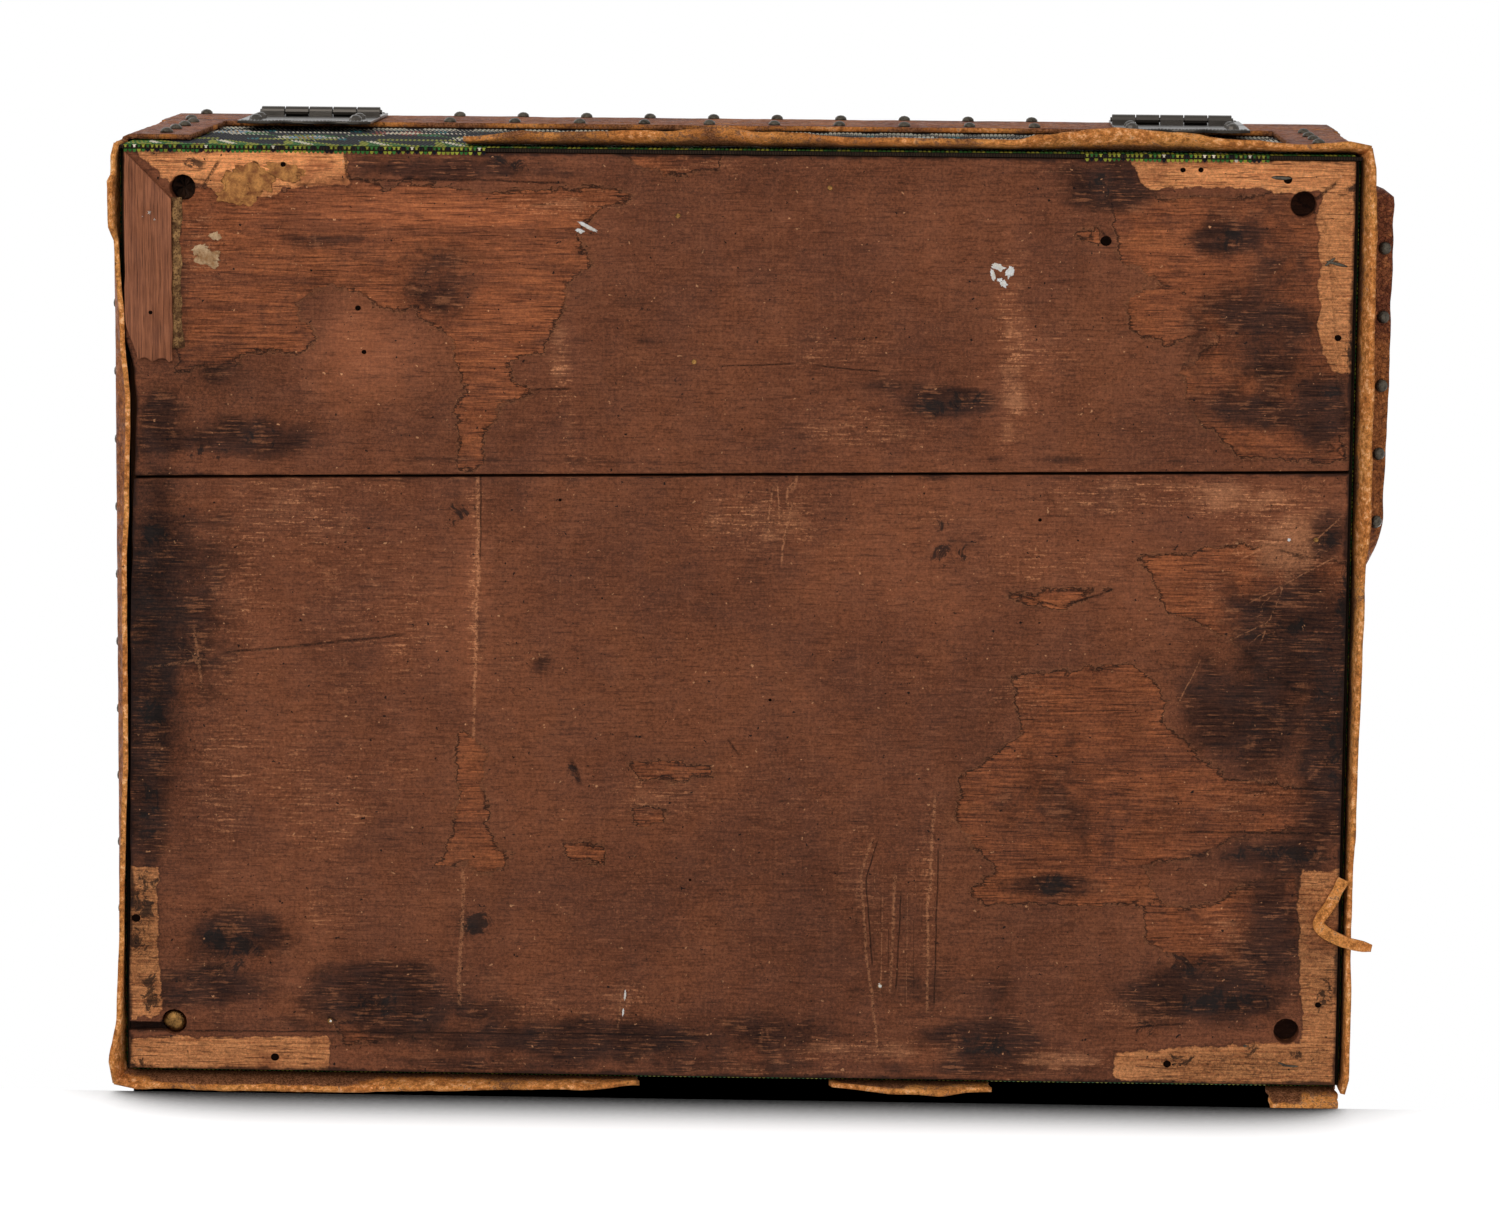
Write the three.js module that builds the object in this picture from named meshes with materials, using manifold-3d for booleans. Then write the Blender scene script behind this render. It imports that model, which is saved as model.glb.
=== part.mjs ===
// Beadwork document box: a wooden box with a hinged lid, covered with bead panels that leather strips and
// domed tacks edge. Millimetres, +X to the right, +Y to the back, +Z up. The underside keeps what is left of
// its lost feet: one facing strip, a brass stud, a broken dowel and two empty sockets.

import * as THREE from 'three';
import { mergeVertices } from 'three/addons/utils/BufferGeometryUtils.js';
import Module from 'manifold-3d';

const wasm = await Module();
wasm.setup();

// Driving dimensions of the wooden carcass
const boxWidth = 455;
const boxDepth = 347;
const bodyHeight = 147;
const lidHeight = 41;
const wallThick = 13;
const boardThick = 14;
const lidBoardThick = 10;
const rearBoardAtLeft = 114.5;
const rearBoardAtRight = 121.5;
const boardJoint = 1.1;

// Clearances and cutting
const fitGap = 0.3;
const lidGap = 0.5;
const overrun = 2;
const weldDistance = 1e-4;

// Foot sockets, each by its distance from the box's side and from its front or back
const socketRadius = 4.85;
const socketDepth = 10.5;
const socketRearRight = { fromSide: 22, fromEnd: 14 };
const socketRearLeft = { fromSide: 19, fromEnd: 16 };
const socketFrontRight = { fromSide: 17, fromEnd: 18 };
const socketFrontLeft = { fromSide: 18.6, fromEnd: 20.5 };
const socketSlack = 0.4;
const splitWidth = 3.4;
const splitDepth = 5;
const stubRecess = 3.4;
const studRecess = 0.8;
const studDomeShare = 0.33;
const studCrownShare = 0.6;
const studCrownDropShare = 0.25;
const facingWidth = 17.5;
const facingLength = 78;
const facingThick = 1.9;
const facingInset = 0.6;

// Beadwork, leather and lining
const beadThick = 2;
const leatherThick = 1.8;
const liningThick = 0.8;
const liningReveal = 2.5;
const bottomEdgingTop = 24;
const lipDrop = 2.5;
const rimEdgingWidth = 15;
const cornerEdgingWidth = 22;
const cornerRound = 2.4;
const lidEdgingTopWidth = 18;
const edgeRound = 1.2;

// The bottom edging: a band with a pivot line, below which it curls out and above which it leans out
const bandPivot = 11;
const bandFoldLength = 3;
const bandStep = 14;
const fullCurl = THREE.MathUtils.degToRad(75);
const fullLean = THREE.MathUtils.degToRad(80);
const leastCurl = THREE.MathUtils.degToRad(1);
const backEdgingEndShare = 0.444;
const frontEdgingEndShare = 0.154;
const scrapFromShare = 0.167;
const scrapToShare = 0.431;
const tabLength = 24.5;
const tearLength = 26;
const thongRaise = 3.4;

// The torn thong, by the points of its middle line: out from the left side, and back from the front
const thongWidth = 4.4;
const thongThick = 1.8;
const thongRoot = { out: 1.4, back: 79 };
const thongRootEnd = { out: -3, back: 70 };
const thongBend = { out: -7.4, back: 61.5 };
const thongReturn = { out: 1.5, back: 55.5 };
const thongTip = { out: 12.4, back: 53 };

// Domed tacks
const tackRadius = 2.6;
const tackHeight = 2;
const tackPitch = 25.6;
const tackSides = 6;
const tackCrownShare = 0.5;
const backTackShift = 15.5;
const bottomTackDrop = 7;
const lidTackDrop = 6;

// Hinges, each by the distance of its middle from the box's side
const hingeFromRight = 57.8;
const hingeFromLeft = 60.8;
const barrelLength = 47;
const knuckleRadius = 2;
const knuckleCount = 5;
const knuckleGap = 0.35;
const pinRadius = 0.95;
const pinClearance = 0.16;
const pinHead = 0.7;
const leafThick = 1.1;
const leafOverhang = 5;
const bodyLeafHeight = 44;
const lidLeafHeight = 36;
const leafScallop = 4;
const leafSetback = 1.3;
const leafTackInset = 6.5;
const leafTackRise = 15;
const barrelSink = 0.2;

// Lock
const lockWidth = 44;
const lockDepth = 7.4;
const lockHeight = 38;
const channelWidth = 3.8;
const channelFloor = 10.5;
const channelRoof = 4.9;
const channelLeft = 18;
const hookSlotDepth = 15.4;
const hookSwing = 1.8;
const boltLength = 17;
const boltThick = 3;
const boltTravel = 7;
const boltStopGap = 3.1;
const hookThick = 2.4;
const hookShank = 3;
const hookToe = 6;
const hookDepth = 14.6;
const catchPlateWidth = 30;
const catchPlateDepth = 7;
const catchPlateThick = 1.2;
const keyholeDrop = 26;
const keyholeRadius = 1.8;
const keySlotWidth = 1.7;
const keySlotLength = 6.5;
const keyDepth = 5;
const keyPlateWidth = 20;
const keyPlateHeight = 27;
const keyPlateThick = 1.1;

// Worked out from the driving dimensions
const halfWidth = boxWidth / 2;
const halfDepth = boxDepth / 2;
const lidBottom = bodyHeight + lidGap;
const lidTop = lidBottom + lidHeight;
const beadInner = fitGap;
const beadOuter = beadInner + beadThick;
const leatherInner = beadOuter + fitGap;
const leatherOuter = leatherInner + leatherThick;
const leafInner = leatherOuter + fitGap;
const leafOuter = leafInner + leafThick;
const axisOut = leafOuter + knuckleRadius - barrelSink;
const axisHeight = (bodyHeight + lidBottom) / 2;
const hingeRight = halfWidth - hingeFromRight;
const hingeLeft = hingeFromLeft - halfWidth;
const backEdgingEnd = halfWidth * backEdgingEndShare;
const frontEdgingEnd = halfWidth * frontEdgingEndShare;
const scrapFrom = halfWidth * scrapFromShare;
const scrapTo = halfWidth * scrapToShare;
const innerHalfWidth = halfWidth - wallThick;
const innerHalfDepth = halfDepth - wallThick;
const lockMiddle = -wallThick + lockDepth / 2;

// Materials
function finish(color, roughness, metalness = 0) {
  return new THREE.MeshStandardMaterial({ color, roughness, metalness });
}
const boardFinish = () => finish(0x6a4230, 0.75);
const wallFinish = () => finish(0x8a5a3a, 0.8);
const walnutFinish = () => finish(0x7a4a35, 0.7);
const beadFinish = () => finish(0x2f4a38, 0.35);
const leatherFinish = () => finish(0x9a5a30, 0.85);
const brassFinish = () => finish(0x8c6d35, 0.4, 1);
const patinaFinish = () => finish(0x3a3733, 0.45, 1);
const paperFinish = () => finish(0xcdbb98, 0.95);

// Solids: a closed geometry made a manifold, cut or joined, and given back
function solidOf(geometry) {
  const plain = geometry.clone();
  plain.deleteAttribute('normal');
  plain.deleteAttribute('uv');
  const merged = mergeVertices(plain, weldDistance);
  return new wasm.Manifold(new wasm.Mesh({
    numProp: 3,
    vertProperties: Float32Array.from(merged.attributes.position.array),
    triVerts: Uint32Array.from(merged.index.array),
  }));
}

function geometryOf(solid) {
  const mesh = solid.getMesh();
  const geometry = new THREE.BufferGeometry();
  geometry.setAttribute('position', new THREE.BufferAttribute(Float32Array.from(mesh.vertProperties), 3));
  geometry.setIndex(new THREE.BufferAttribute(Uint32Array.from(mesh.triVerts), 1));
  geometry.computeVertexNormals();
  return geometry;
}

function cut(geometry, ...tools) {
  return geometryOf(tools.reduce((solid, tool) => solid.subtract(solidOf(tool)), solidOf(geometry)));
}

function join(geometry, ...others) {
  return geometryOf(others.reduce((solid, other) => solid.add(solidOf(other)), solidOf(geometry)));
}

// A box between two limits on each axis
function block(x, y, z) {
  const length = ([from, to]) => Math.abs(to - from);
  const geometry = new THREE.BoxGeometry(length(x), length(y), length(z));
  return geometry.translate((x[0] + x[1]) / 2, (y[0] + y[1]) / 2, (z[0] + z[1]) / 2);
}

// An outline drawn in X and Z, with its thickness from one distance along Y to another
function upright(shape, from, to, curveSegments = 6) {
  const geometry = new THREE.ExtrudeGeometry(shape, { depth: to - from, bevelEnabled: false, curveSegments });
  return geometry.rotateX(Math.PI / 2).translate(0, to, 0);
}

// An outline drawn in X and Y, with its thickness from one height to another
function slab(shape, from, to, curveSegments = 6) {
  const geometry = new THREE.ExtrudeGeometry(shape, { depth: to - from, bevelEnabled: false, curveSegments });
  return geometry.translate(0, 0, from);
}

function outline(points) {
  return new THREE.Shape(points.map(([x, y]) => new THREE.Vector2(x, y)));
}

function add(parent, name, geometry, material) {
  const mesh = new THREE.Mesh(geometry, material);
  mesh.name = name;
  parent.add(mesh);
  return mesh;
}

// A domed tack head on a face that looks along +Y, or along +Z for the top of the lid
function tackAt(x, face, z) {
  const crown = tackRadius * tackCrownShare;
  const head = new THREE.CylinderGeometry(crown, tackRadius, tackHeight + fitGap, tackSides);
  return head.translate(0, (tackHeight - fitGap) / 2, 0).translate(x, face, z);
}

function tackOnTop(x, y, face) {
  return tackAt(0, 0, 0).rotateX(Math.PI / 2).translate(x, y, face);
}

// Evenly pitched places along a side, between two limits
function placesAlong(from, to, pitch = tackPitch) {
  const count = Math.max(1, Math.floor((to - from) / pitch));
  const first = (from + to - (count - 1) * pitch) / 2;
  return Array.from({ length: count }, (_, i) => first + i * pitch);
}

// One frame for each side: x runs along the side, y points out of it, z points up
const sideHalf = { back: halfWidth, front: halfWidth, left: halfDepth, right: halfDepth };

const clearOfHinges = (x) => [hingeLeft, hingeRight]
  .every((hinge) => Math.abs(x - hinge) > barrelLength / 2 + leafOverhang + tackRadius + fitGap);

// The places of one side's upper tack rows. The back's rows start off the middle and stop short of the hinges.
function upperTacks(side) {
  const half = sideHalf[side];
  const row = placesAlong(-half, half);
  return side === 'back' ? row.map((x) => x + backTackShift) : row;
}

function besideHinges(side, row) {
  return side === 'back' ? row.filter(clearOfHinges) : row;
}

function sideFrames(parent) {
  const turns = { back: 0, left: Math.PI / 2, front: Math.PI, right: -Math.PI / 2 };
  const reaches = { back: halfDepth, left: halfWidth, front: halfDepth, right: halfWidth };
  const frames = {};
  for (const side of Object.keys(turns)) {
    const turned = new THREE.Group();
    turned.rotation.z = turns[side];
    const frame = new THREE.Group();
    frame.position.y = reaches[side];
    turned.add(frame);
    parent.add(turned);
    frames[side] = frame;
  }
  return frames;
}

const root = new THREE.Group();
const box = new THREE.Group();
const lid = new THREE.Group();
root.add(box, lid);
const bodySides = sideFrames(box);
const lidSides = sideFrames(lid);

// The bottom: two boards with a tapering joint, blind foot sockets and a split
function socketPlace(socket, side, end) {
  return [side * (halfWidth - socket.fromSide), end * (halfDepth - socket.fromEnd)];
}

function socketCutter([x, y]) {
  const depth = socketDepth + overrun;
  const cutter = new THREE.CylinderGeometry(socketRadius, socketRadius, depth, 16);
  return cutter.rotateX(Math.PI / 2).translate(x, y, socketDepth - depth / 2);
}

const placeRearRight = socketPlace(socketRearRight, 1, 1);
const placeRearLeft = socketPlace(socketRearLeft, -1, 1);
const placeFrontRight = socketPlace(socketFrontRight, 1, -1);
const placeFrontLeft = socketPlace(socketFrontLeft, -1, -1);

function makeBottom() {
  const jointLeft = halfDepth - rearBoardAtLeft;
  const jointRight = halfDepth - rearBoardAtRight;
  const front = slab(outline([
    [-halfWidth, -halfDepth],
    [halfWidth, -halfDepth],
    [halfWidth, jointRight - boardJoint],
    [-halfWidth, jointLeft - boardJoint],
  ]), 0, boardThick);
  const rear = slab(outline([
    [-halfWidth, jointLeft],
    [halfWidth, jointRight],
    [halfWidth, halfDepth],
    [-halfWidth, halfDepth],
  ]), 0, boardThick);
  const split = block(
    [placeFrontRight[0], halfWidth + overrun],
    [placeFrontRight[1] - splitWidth, placeFrontRight[1]],
    [-overrun, splitDepth],
  );
  const frontCut = cut(front, socketCutter(placeFrontLeft), socketCutter(placeFrontRight), split);
  const rearCut = cut(rear, socketCutter(placeRearLeft), socketCutter(placeRearRight));
  add(box, 'bottom_board_front', frontCut, boardFinish());
  add(box, 'bottom_board_rear', rearCut, boardFinish());
}

// What is left of the feet: a facing with one mitred end, a brass stud and a broken dowel
function makeFootRemains() {
  const side = halfWidth - facingInset;
  const end = halfDepth - facingInset;
  const facing = slab(outline([
    [side, end],
    [side - facingWidth, end - facingWidth],
    [side - facingWidth, end - facingLength],
    [side, end - facingLength],
  ]), -fitGap - facingThick, -fitGap);
  add(box, 'foot_facing', facing, walnutFinish());

  const pegRadius = socketRadius - socketSlack;
  const pegTop = socketDepth - fitGap;
  const dome = pegRadius * studDomeShare;
  const studPoints = [
    [0, studRecess],
    [pegRadius * studCrownShare, studRecess + dome * studCrownDropShare],
    [pegRadius, studRecess + dome],
    [pegRadius, pegTop],
    [0, pegTop],
  ].map(([x, y]) => new THREE.Vector2(x, y));
  const stud = add(box, 'foot_stud', new THREE.LatheGeometry(studPoints, 16), brassFinish());
  stud.rotation.x = Math.PI / 2;
  stud.position.set(placeFrontRight[0], placeFrontRight[1], 0);

  const stubLength = pegTop - stubRecess;
  const stub = new THREE.CylinderGeometry(pegRadius, pegRadius, stubLength, 12);
  const dowel = add(box, 'foot_dowel_stub', stub, wallFinish());
  dowel.rotation.x = Math.PI / 2;
  dowel.position.set(placeRearRight[0], placeRearRight[1], stubRecess + stubLength / 2);
}

// The keyhole, drawn in X and Z about its round part
function keyholeShape() {
  const half = keySlotWidth / 2;
  const shape = new THREE.Shape();
  const radius = keyholeRadius;
  const waist = Math.asin(half / radius);
  shape.absarc(0, 0, radius, -Math.PI / 2 + waist, 1.5 * Math.PI - waist);
  shape.lineTo(-half, -keySlotLength);
  shape.lineTo(half, -keySlotLength);
  shape.closePath();
  return shape;
}

const keyholeHeight = bodyHeight - keyholeDrop;

// Works in the front side's frame, where y points forwards
function keyholeCutter(from, to) {
  return upright(keyholeShape(), from, to, 4).translate(0, 0, keyholeHeight);
}

function makeWalls() {
  const wallFrom = boardThick + fitGap;
  const across = halfWidth;
  const between = innerHalfDepth - fitGap;
  const plainWall = (half) => block([-half, half], [-wallThick, 0], [wallFrom, bodyHeight]);
  const mortise = block(
    [-lockWidth / 2 - fitGap, lockWidth / 2 + fitGap],
    [-wallThick - overrun, -wallThick + lockDepth + fitGap],
    [bodyHeight - lockHeight - fitGap, bodyHeight + overrun],
  );
  const front = cut(plainWall(across), mortise, keyholeCutter(-wallThick, overrun));
  add(bodySides.front, 'front_wall', front, wallFinish());
  add(bodySides.back, 'back_wall', plainWall(across), wallFinish());
  add(bodySides.left, 'left_wall', plainWall(between), wallFinish());
  add(bodySides.right, 'right_wall', plainWall(between), wallFinish());
}

function makeBeadPanels() {
  const top = bodyHeight - fitGap;
  const panel = (half) => block([-half, half], [beadInner, beadOuter], [fitGap, top]);
  const across = halfWidth + beadOuter;
  const front = cut(panel(across), keyholeCutter(-overrun, beadOuter + overrun));
  add(bodySides.front, 'bead_panel_front', front, beadFinish());
  add(bodySides.back, 'bead_panel_back', panel(across), beadFinish());
  add(bodySides.left, 'bead_panel_left', panel(halfDepth), beadFinish());
  add(bodySides.right, 'bead_panel_right', panel(halfDepth), beadFinish());
  const sheet = new THREE.BoxGeometry(boxWidth, boxDepth, beadThick);
  const lidPanel = add(lid, 'bead_panel_lid', sheet, beadFinish());
  lidPanel.position.z = lidTop + beadInner + beadThick / 2;
}

// A value read off pairs of shares: the share along, and the share of the full value there
function shareAt(pairShares, along) {
  for (let i = 1; i < pairShares.length; i += 1) {
    const [from, low] = pairShares[i - 1];
    const [to, high] = pairShares[i];
    if (along <= to) {
      return low + (high - low) * THREE.MathUtils.smoothstep(along, from, to);
    }
  }
  return pairShares[pairShares.length - 1][1];
}

// One leather band of the bottom edging, in its side's frame. The lip always reaches the same depth, however
// far it curls. A mitred end stops at the corner's 45 degree plane, and a torn end loses its lower edge.
function edgingBand(options) {
  const { half, from, to, mitreFrom, mitreTo, curlShares, leanShares, raiseAt = () => 0 } = options;
  const steps = Math.max(3, Math.round((to - from) / bandStep));
  const upper = bottomEdgingTop - bandPivot;
  const lower = bandPivot + lipDrop;
  const rowsDown = [-upper, -(upper + bandFoldLength) / 2, -bandFoldLength, 0, lower / 3, lower / 1.5, lower];
  const rows = rowsDown.length - 1;
  const middle = leatherInner + leatherThick / 2;
  const geometry = new THREE.BoxGeometry(1, 1, 1, steps, 1, rows);
  const place = geometry.attributes.position;
  for (let i = 0; i < place.count; i += 1) {
    const along = place.getX(i) + 0.5;
    const across = place.getY(i) * leatherThick;
    const down = rowsDown[Math.round((0.5 - place.getZ(i)) * rows)];
    const x = from + (to - from) * along;
    let out;
    let height;
    if (down > 0) {
      const angle = Math.max(leastCurl, fullCurl * shareAt(curlShares, along));
      const radius = lower / Math.sin(angle) - leatherThick / 2;
      const kept = 1 - raiseAt(x) / lower;
      const turned = angle * (down / lower) * kept;
      out = middle + radius * (1 - Math.cos(turned)) + across * Math.cos(turned);
      height = bandPivot - radius * Math.sin(turned) + across * Math.sin(turned);
    } else {
      const angle = fullLean * shareAt(leanShares, along);
      const up = -down;
      const turned = angle * Math.min(1, up / bandFoldLength);
      const straight = Math.max(0, up - bandFoldLength);
      const radius = angle > 0 ? bandFoldLength / angle : 0;
      const folded = angle > 0 ? radius * Math.sin(turned) : Math.min(up, bandFoldLength);
      out = middle + radius * (1 - Math.cos(turned)) + straight * Math.sin(turned) + across * Math.cos(turned);
      height = bandPivot + folded + straight * Math.cos(turned) - across * Math.sin(turned);
    }
    let end = x;
    if (mitreFrom && along === 0) {
      end = -half - out + fitGap / 2;
    }
    if (mitreTo && along === 1) {
      end = half + out - fitGap / 2;
    }
    place.setXYZ(i, end, out, height);
  }
  const tacks = placesAlong(from + tackPitch / 2, to - tackPitch / 2)
    .filter((x) => shareAt(leanShares, (x - from) / (to - from)) === 0)
    .map((x) => tackAt(x, leatherOuter, bottomEdgingTop - bottomTackDrop));
  return join(geometry, ...tacks);
}

// How much of the lip a torn end has lost, at a distance from that end
function tornAway(distance, most) {
  return most * (1 - THREE.MathUtils.smoothstep(distance, 0, tearLength));
}

const flatShares = [[0, 0], [1, 0]];
const backCurlShares = [
  [0, 0.32],
  [0.065, 0.22],
  [0.13, 0.38],
  [0.2, 0.66],
  [0.29, 0.8],
  [0.35, 0.56],
  [0.38, 0.3],
  [0.56, 0.33],
  [0.66, 0.55],
  [0.72, 0.7],
  [0.78, 0.55],
  [0.9, 0.46],
  [1, 0.6],
];
const leftCurlShares = [[0, 0.1], [0.3, 0.15], [0.55, 0.3], [0.62, 0.5], [0.9, 0.5], [1, 0.5]];
const leftLeanShares = [[0, 0], [0.52, 0], [0.62, 0.8], [0.8, 1], [0.94, 0.9], [0.985, 0], [1, 0]];
const rightCurlShares = [[0, 0.22], [0.2, 0.16], [0.45, 0.24], [0.7, 0.15], [1, 0.24]];
const frontCurlShares = [[0, 0.45], [0.3, 0.55], [0.6, 0.5], [0.85, 0.62], [1, 0.5]];
const scrapCurlShares = [[0, 0.35], [0.5, 0.55], [1, 0.45]];
const tabCurlShares = [[0, 0.85], [1, 0.75]];

function makeBottomEdging() {
  const thongMiddle = (thongRoot.back + thongTip.back) / 2 - halfDepth;
  const thongHalf = (thongRoot.back - thongTip.back) / 2 + thongWidth;
  const underThong = (x) => thongRaise
    * (1 - THREE.MathUtils.smoothstep(Math.abs(x - thongMiddle), thongHalf, thongHalf + bandStep));
  const tornLower = (bandPivot + lipDrop) / 2;
  add(bodySides.back, 'bottom_edging_back', edgingBand({
    half: halfWidth,
    from: -halfWidth,
    to: backEdgingEnd,
    mitreFrom: true,
    curlShares: backCurlShares,
    leanShares: flatShares,
    raiseAt: (x) => tornAway(backEdgingEnd - x, tornLower),
  }), leatherFinish());
  add(bodySides.left, 'bottom_edging_left', edgingBand({
    half: halfDepth,
    from: -halfDepth,
    to: halfDepth,
    mitreFrom: true,
    mitreTo: true,
    curlShares: leftCurlShares,
    leanShares: leftLeanShares,
    raiseAt: underThong,
  }), leatherFinish());
  add(bodySides.right, 'bottom_edging_right', edgingBand({
    half: halfDepth,
    from: -halfDepth,
    to: halfDepth,
    mitreFrom: true,
    mitreTo: true,
    curlShares: rightCurlShares,
    leanShares: flatShares,
  }), leatherFinish());
  add(bodySides.front, 'bottom_edging_front', edgingBand({
    half: halfWidth,
    from: -halfWidth,
    to: -frontEdgingEnd,
    mitreFrom: true,
    curlShares: frontCurlShares,
    leanShares: flatShares,
    raiseAt: (x) => tornAway(-frontEdgingEnd - x, tornLower),
  }), leatherFinish());
  add(bodySides.front, 'bottom_edging_scrap', edgingBand({
    half: halfWidth,
    from: scrapFrom,
    to: scrapTo,
    curlShares: scrapCurlShares,
    leanShares: flatShares,
    raiseAt: (x) => tornAway(Math.min(x - scrapFrom, scrapTo - x), tornLower),
  }), leatherFinish());
  add(bodySides.front, 'bottom_edging_tab', edgingBand({
    half: halfWidth,
    from: halfWidth - tabLength,
    to: halfWidth,
    mitreTo: true,
    curlShares: tabCurlShares,
    leanShares: flatShares,
  }), leatherFinish());
}

// The thong: a flat strap bent along a curve under the left edge, in plan
function makeThong() {
  const curve = new THREE.CatmullRomCurve3([thongRoot, thongRootEnd, thongBend, thongReturn, thongTip]
    .map(({ out, back }) => new THREE.Vector3(-halfWidth - out, back - halfDepth, 0)));
  const strap = new THREE.BoxGeometry(1, thongWidth, thongThick, 18, 1, 1);
  const place = strap.attributes.position;
  for (let i = 0; i < place.count; i += 1) {
    const along = place.getX(i) + 0.5;
    const point = curve.getPointAt(along);
    const tangent = curve.getTangentAt(along);
    const across = place.getY(i);
    place.setX(i, point.x - tangent.y * across);
    place.setY(i, point.y + tangent.x * across);
  }
  const thong = add(box, 'edge_thong', strap, leatherFinish());
  thong.position.z = -fitGap - thongThick / 2;
}

// Upright leather at each corner, an L in plan with a rounded back
function makeCornerEdging() {
  const from = bottomEdgingTop + fitGap;
  const to = bodyHeight - rimEdgingWidth - 2 * fitGap;
  const shape = new THREE.Shape();
  shape.moveTo(-cornerEdgingWidth, leatherInner);
  shape.lineTo(leatherInner, leatherInner);
  shape.lineTo(leatherInner, -cornerEdgingWidth);
  shape.lineTo(leatherOuter, -cornerEdgingWidth);
  shape.lineTo(leatherOuter, leatherOuter - cornerRound);
  shape.absarc(leatherOuter - cornerRound, leatherOuter - cornerRound, cornerRound, 0, Math.PI / 2);
  shape.lineTo(-cornerEdgingWidth, leatherOuter);
  shape.closePath();
  const legMiddle = -cornerEdgingWidth / 2;
  const heights = placesAlong(from, to);
  const alongY = heights.map((z) => tackAt(legMiddle, leatherOuter, z));
  const alongX = heights.map((z) => tackAt(-legMiddle, leatherOuter, z).rotateZ(-Math.PI / 2));
  const corners = {
    back_right: [halfWidth, halfDepth, 0],
    back_left: [-halfWidth, halfDepth, Math.PI / 2],
    front_left: [-halfWidth, -halfDepth, Math.PI],
    front_right: [halfWidth, -halfDepth, -Math.PI / 2],
  };
  for (const [name, [x, y, turn]] of Object.entries(corners)) {
    const strip = join(slab(shape, from, to, 3), ...alongY, ...alongX);
    const mesh = add(box, `corner_edging_${name}`, strip, leatherFinish());
    mesh.position.set(x, y, 0);
    mesh.rotation.z = turn;
  }
}

// A straight strip with its section in Y and Z, mitred at both ends
function mitredStrip(section, half) {
  const geometry = new THREE.ExtrudeGeometry(section, { depth: 1, bevelEnabled: false, curveSegments: 3 });
  const place = geometry.attributes.position;
  for (let i = 0; i < place.count; i += 1) {
    const out = place.getX(i);
    const height = place.getY(i);
    const end = half + out - fitGap / 2;
    place.setXYZ(i, place.getZ(i) > 0.5 ? end : -end, out, height);
  }
  return geometry;
}

// Leather round the mouth of the body, below the lid line
function makeRimEdging() {
  const top = bodyHeight - fitGap;
  const bottom = bodyHeight - rimEdgingWidth - fitGap;
  const section = outline([
    [leatherInner, bottom],
    [leatherOuter, bottom],
    [leatherOuter, top - edgeRound],
    [leatherOuter - edgeRound, top],
    [leatherInner, top],
  ]);
  for (const [side, frame] of Object.entries(bodySides)) {
    const tacks = besideHinges(side, upperTacks(side))
      .map((x) => tackAt(x, leatherOuter, (top + bottom) / 2));
    add(frame, `rim_edging_${side}`, join(mitredStrip(section, sideHalf[side]), ...tacks), leatherFinish());
  }
}

function makeLidWood() {
  const outer = beadOuter;
  const boardFrom = lidTop - lidBoardThick;
  const rimTo = boardFrom - fitGap;
  const board = new THREE.BoxGeometry(boxWidth + 2 * outer, boxDepth + 2 * outer, lidBoardThick);
  const top = add(lid, 'lid_top_board', board, wallFinish());
  top.position.z = boardFrom + lidBoardThick / 2;
  const across = halfWidth + outer;
  const between = innerHalfDepth - fitGap;
  const rim = (half) => block([-half, half], [-wallThick, outer], [lidBottom, rimTo]);
  const seat = block(
    [-catchPlateWidth / 2 - fitGap, catchPlateWidth / 2 + fitGap],
    [lockMiddle - catchPlateDepth / 2 - fitGap, lockMiddle + catchPlateDepth / 2 + fitGap],
    [lidBottom - overrun, lidBottom + catchPlateThick + fitGap],
  );
  add(lidSides.front, 'lid_front_rim', cut(rim(across), seat), wallFinish());
  add(lidSides.back, 'lid_back_rim', rim(across), wallFinish());
  add(lidSides.left, 'lid_left_rim', rim(between), wallFinish());
  add(lidSides.right, 'lid_right_rim', rim(between), wallFinish());
}

// Leather that wraps the lid's edge, from the lid line over the top and onto the bead panel
function makeLidEdging() {
  const under = lidTop + beadOuter + fitGap;
  const over = under + leatherThick;
  const bottom = lidBottom + fitGap;
  const section = outline([
    [leatherInner, bottom],
    [leatherOuter, bottom],
    [leatherOuter, over - edgeRound],
    [leatherOuter - edgeRound, over],
    [-lidEdgingTopWidth, over],
    [-lidEdgingTopWidth, under],
    [leatherInner, under],
  ]);
  for (const [side, frame] of Object.entries(lidSides)) {
    const half = sideHalf[side];
    const row = upperTacks(side);
    const onSide = besideHinges(side, row).map((x) => tackAt(x, leatherOuter, over - lidTackDrop));
    const onTop = row
      .filter((x) => Math.abs(x) < half - lidEdgingTopWidth)
      .map((x) => tackOnTop(x, -lidEdgingTopWidth / 2, over));
    add(frame, `lid_edging_${side}`, join(mitredStrip(section, half), ...onSide, ...onTop), leatherFinish());
  }
}

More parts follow.
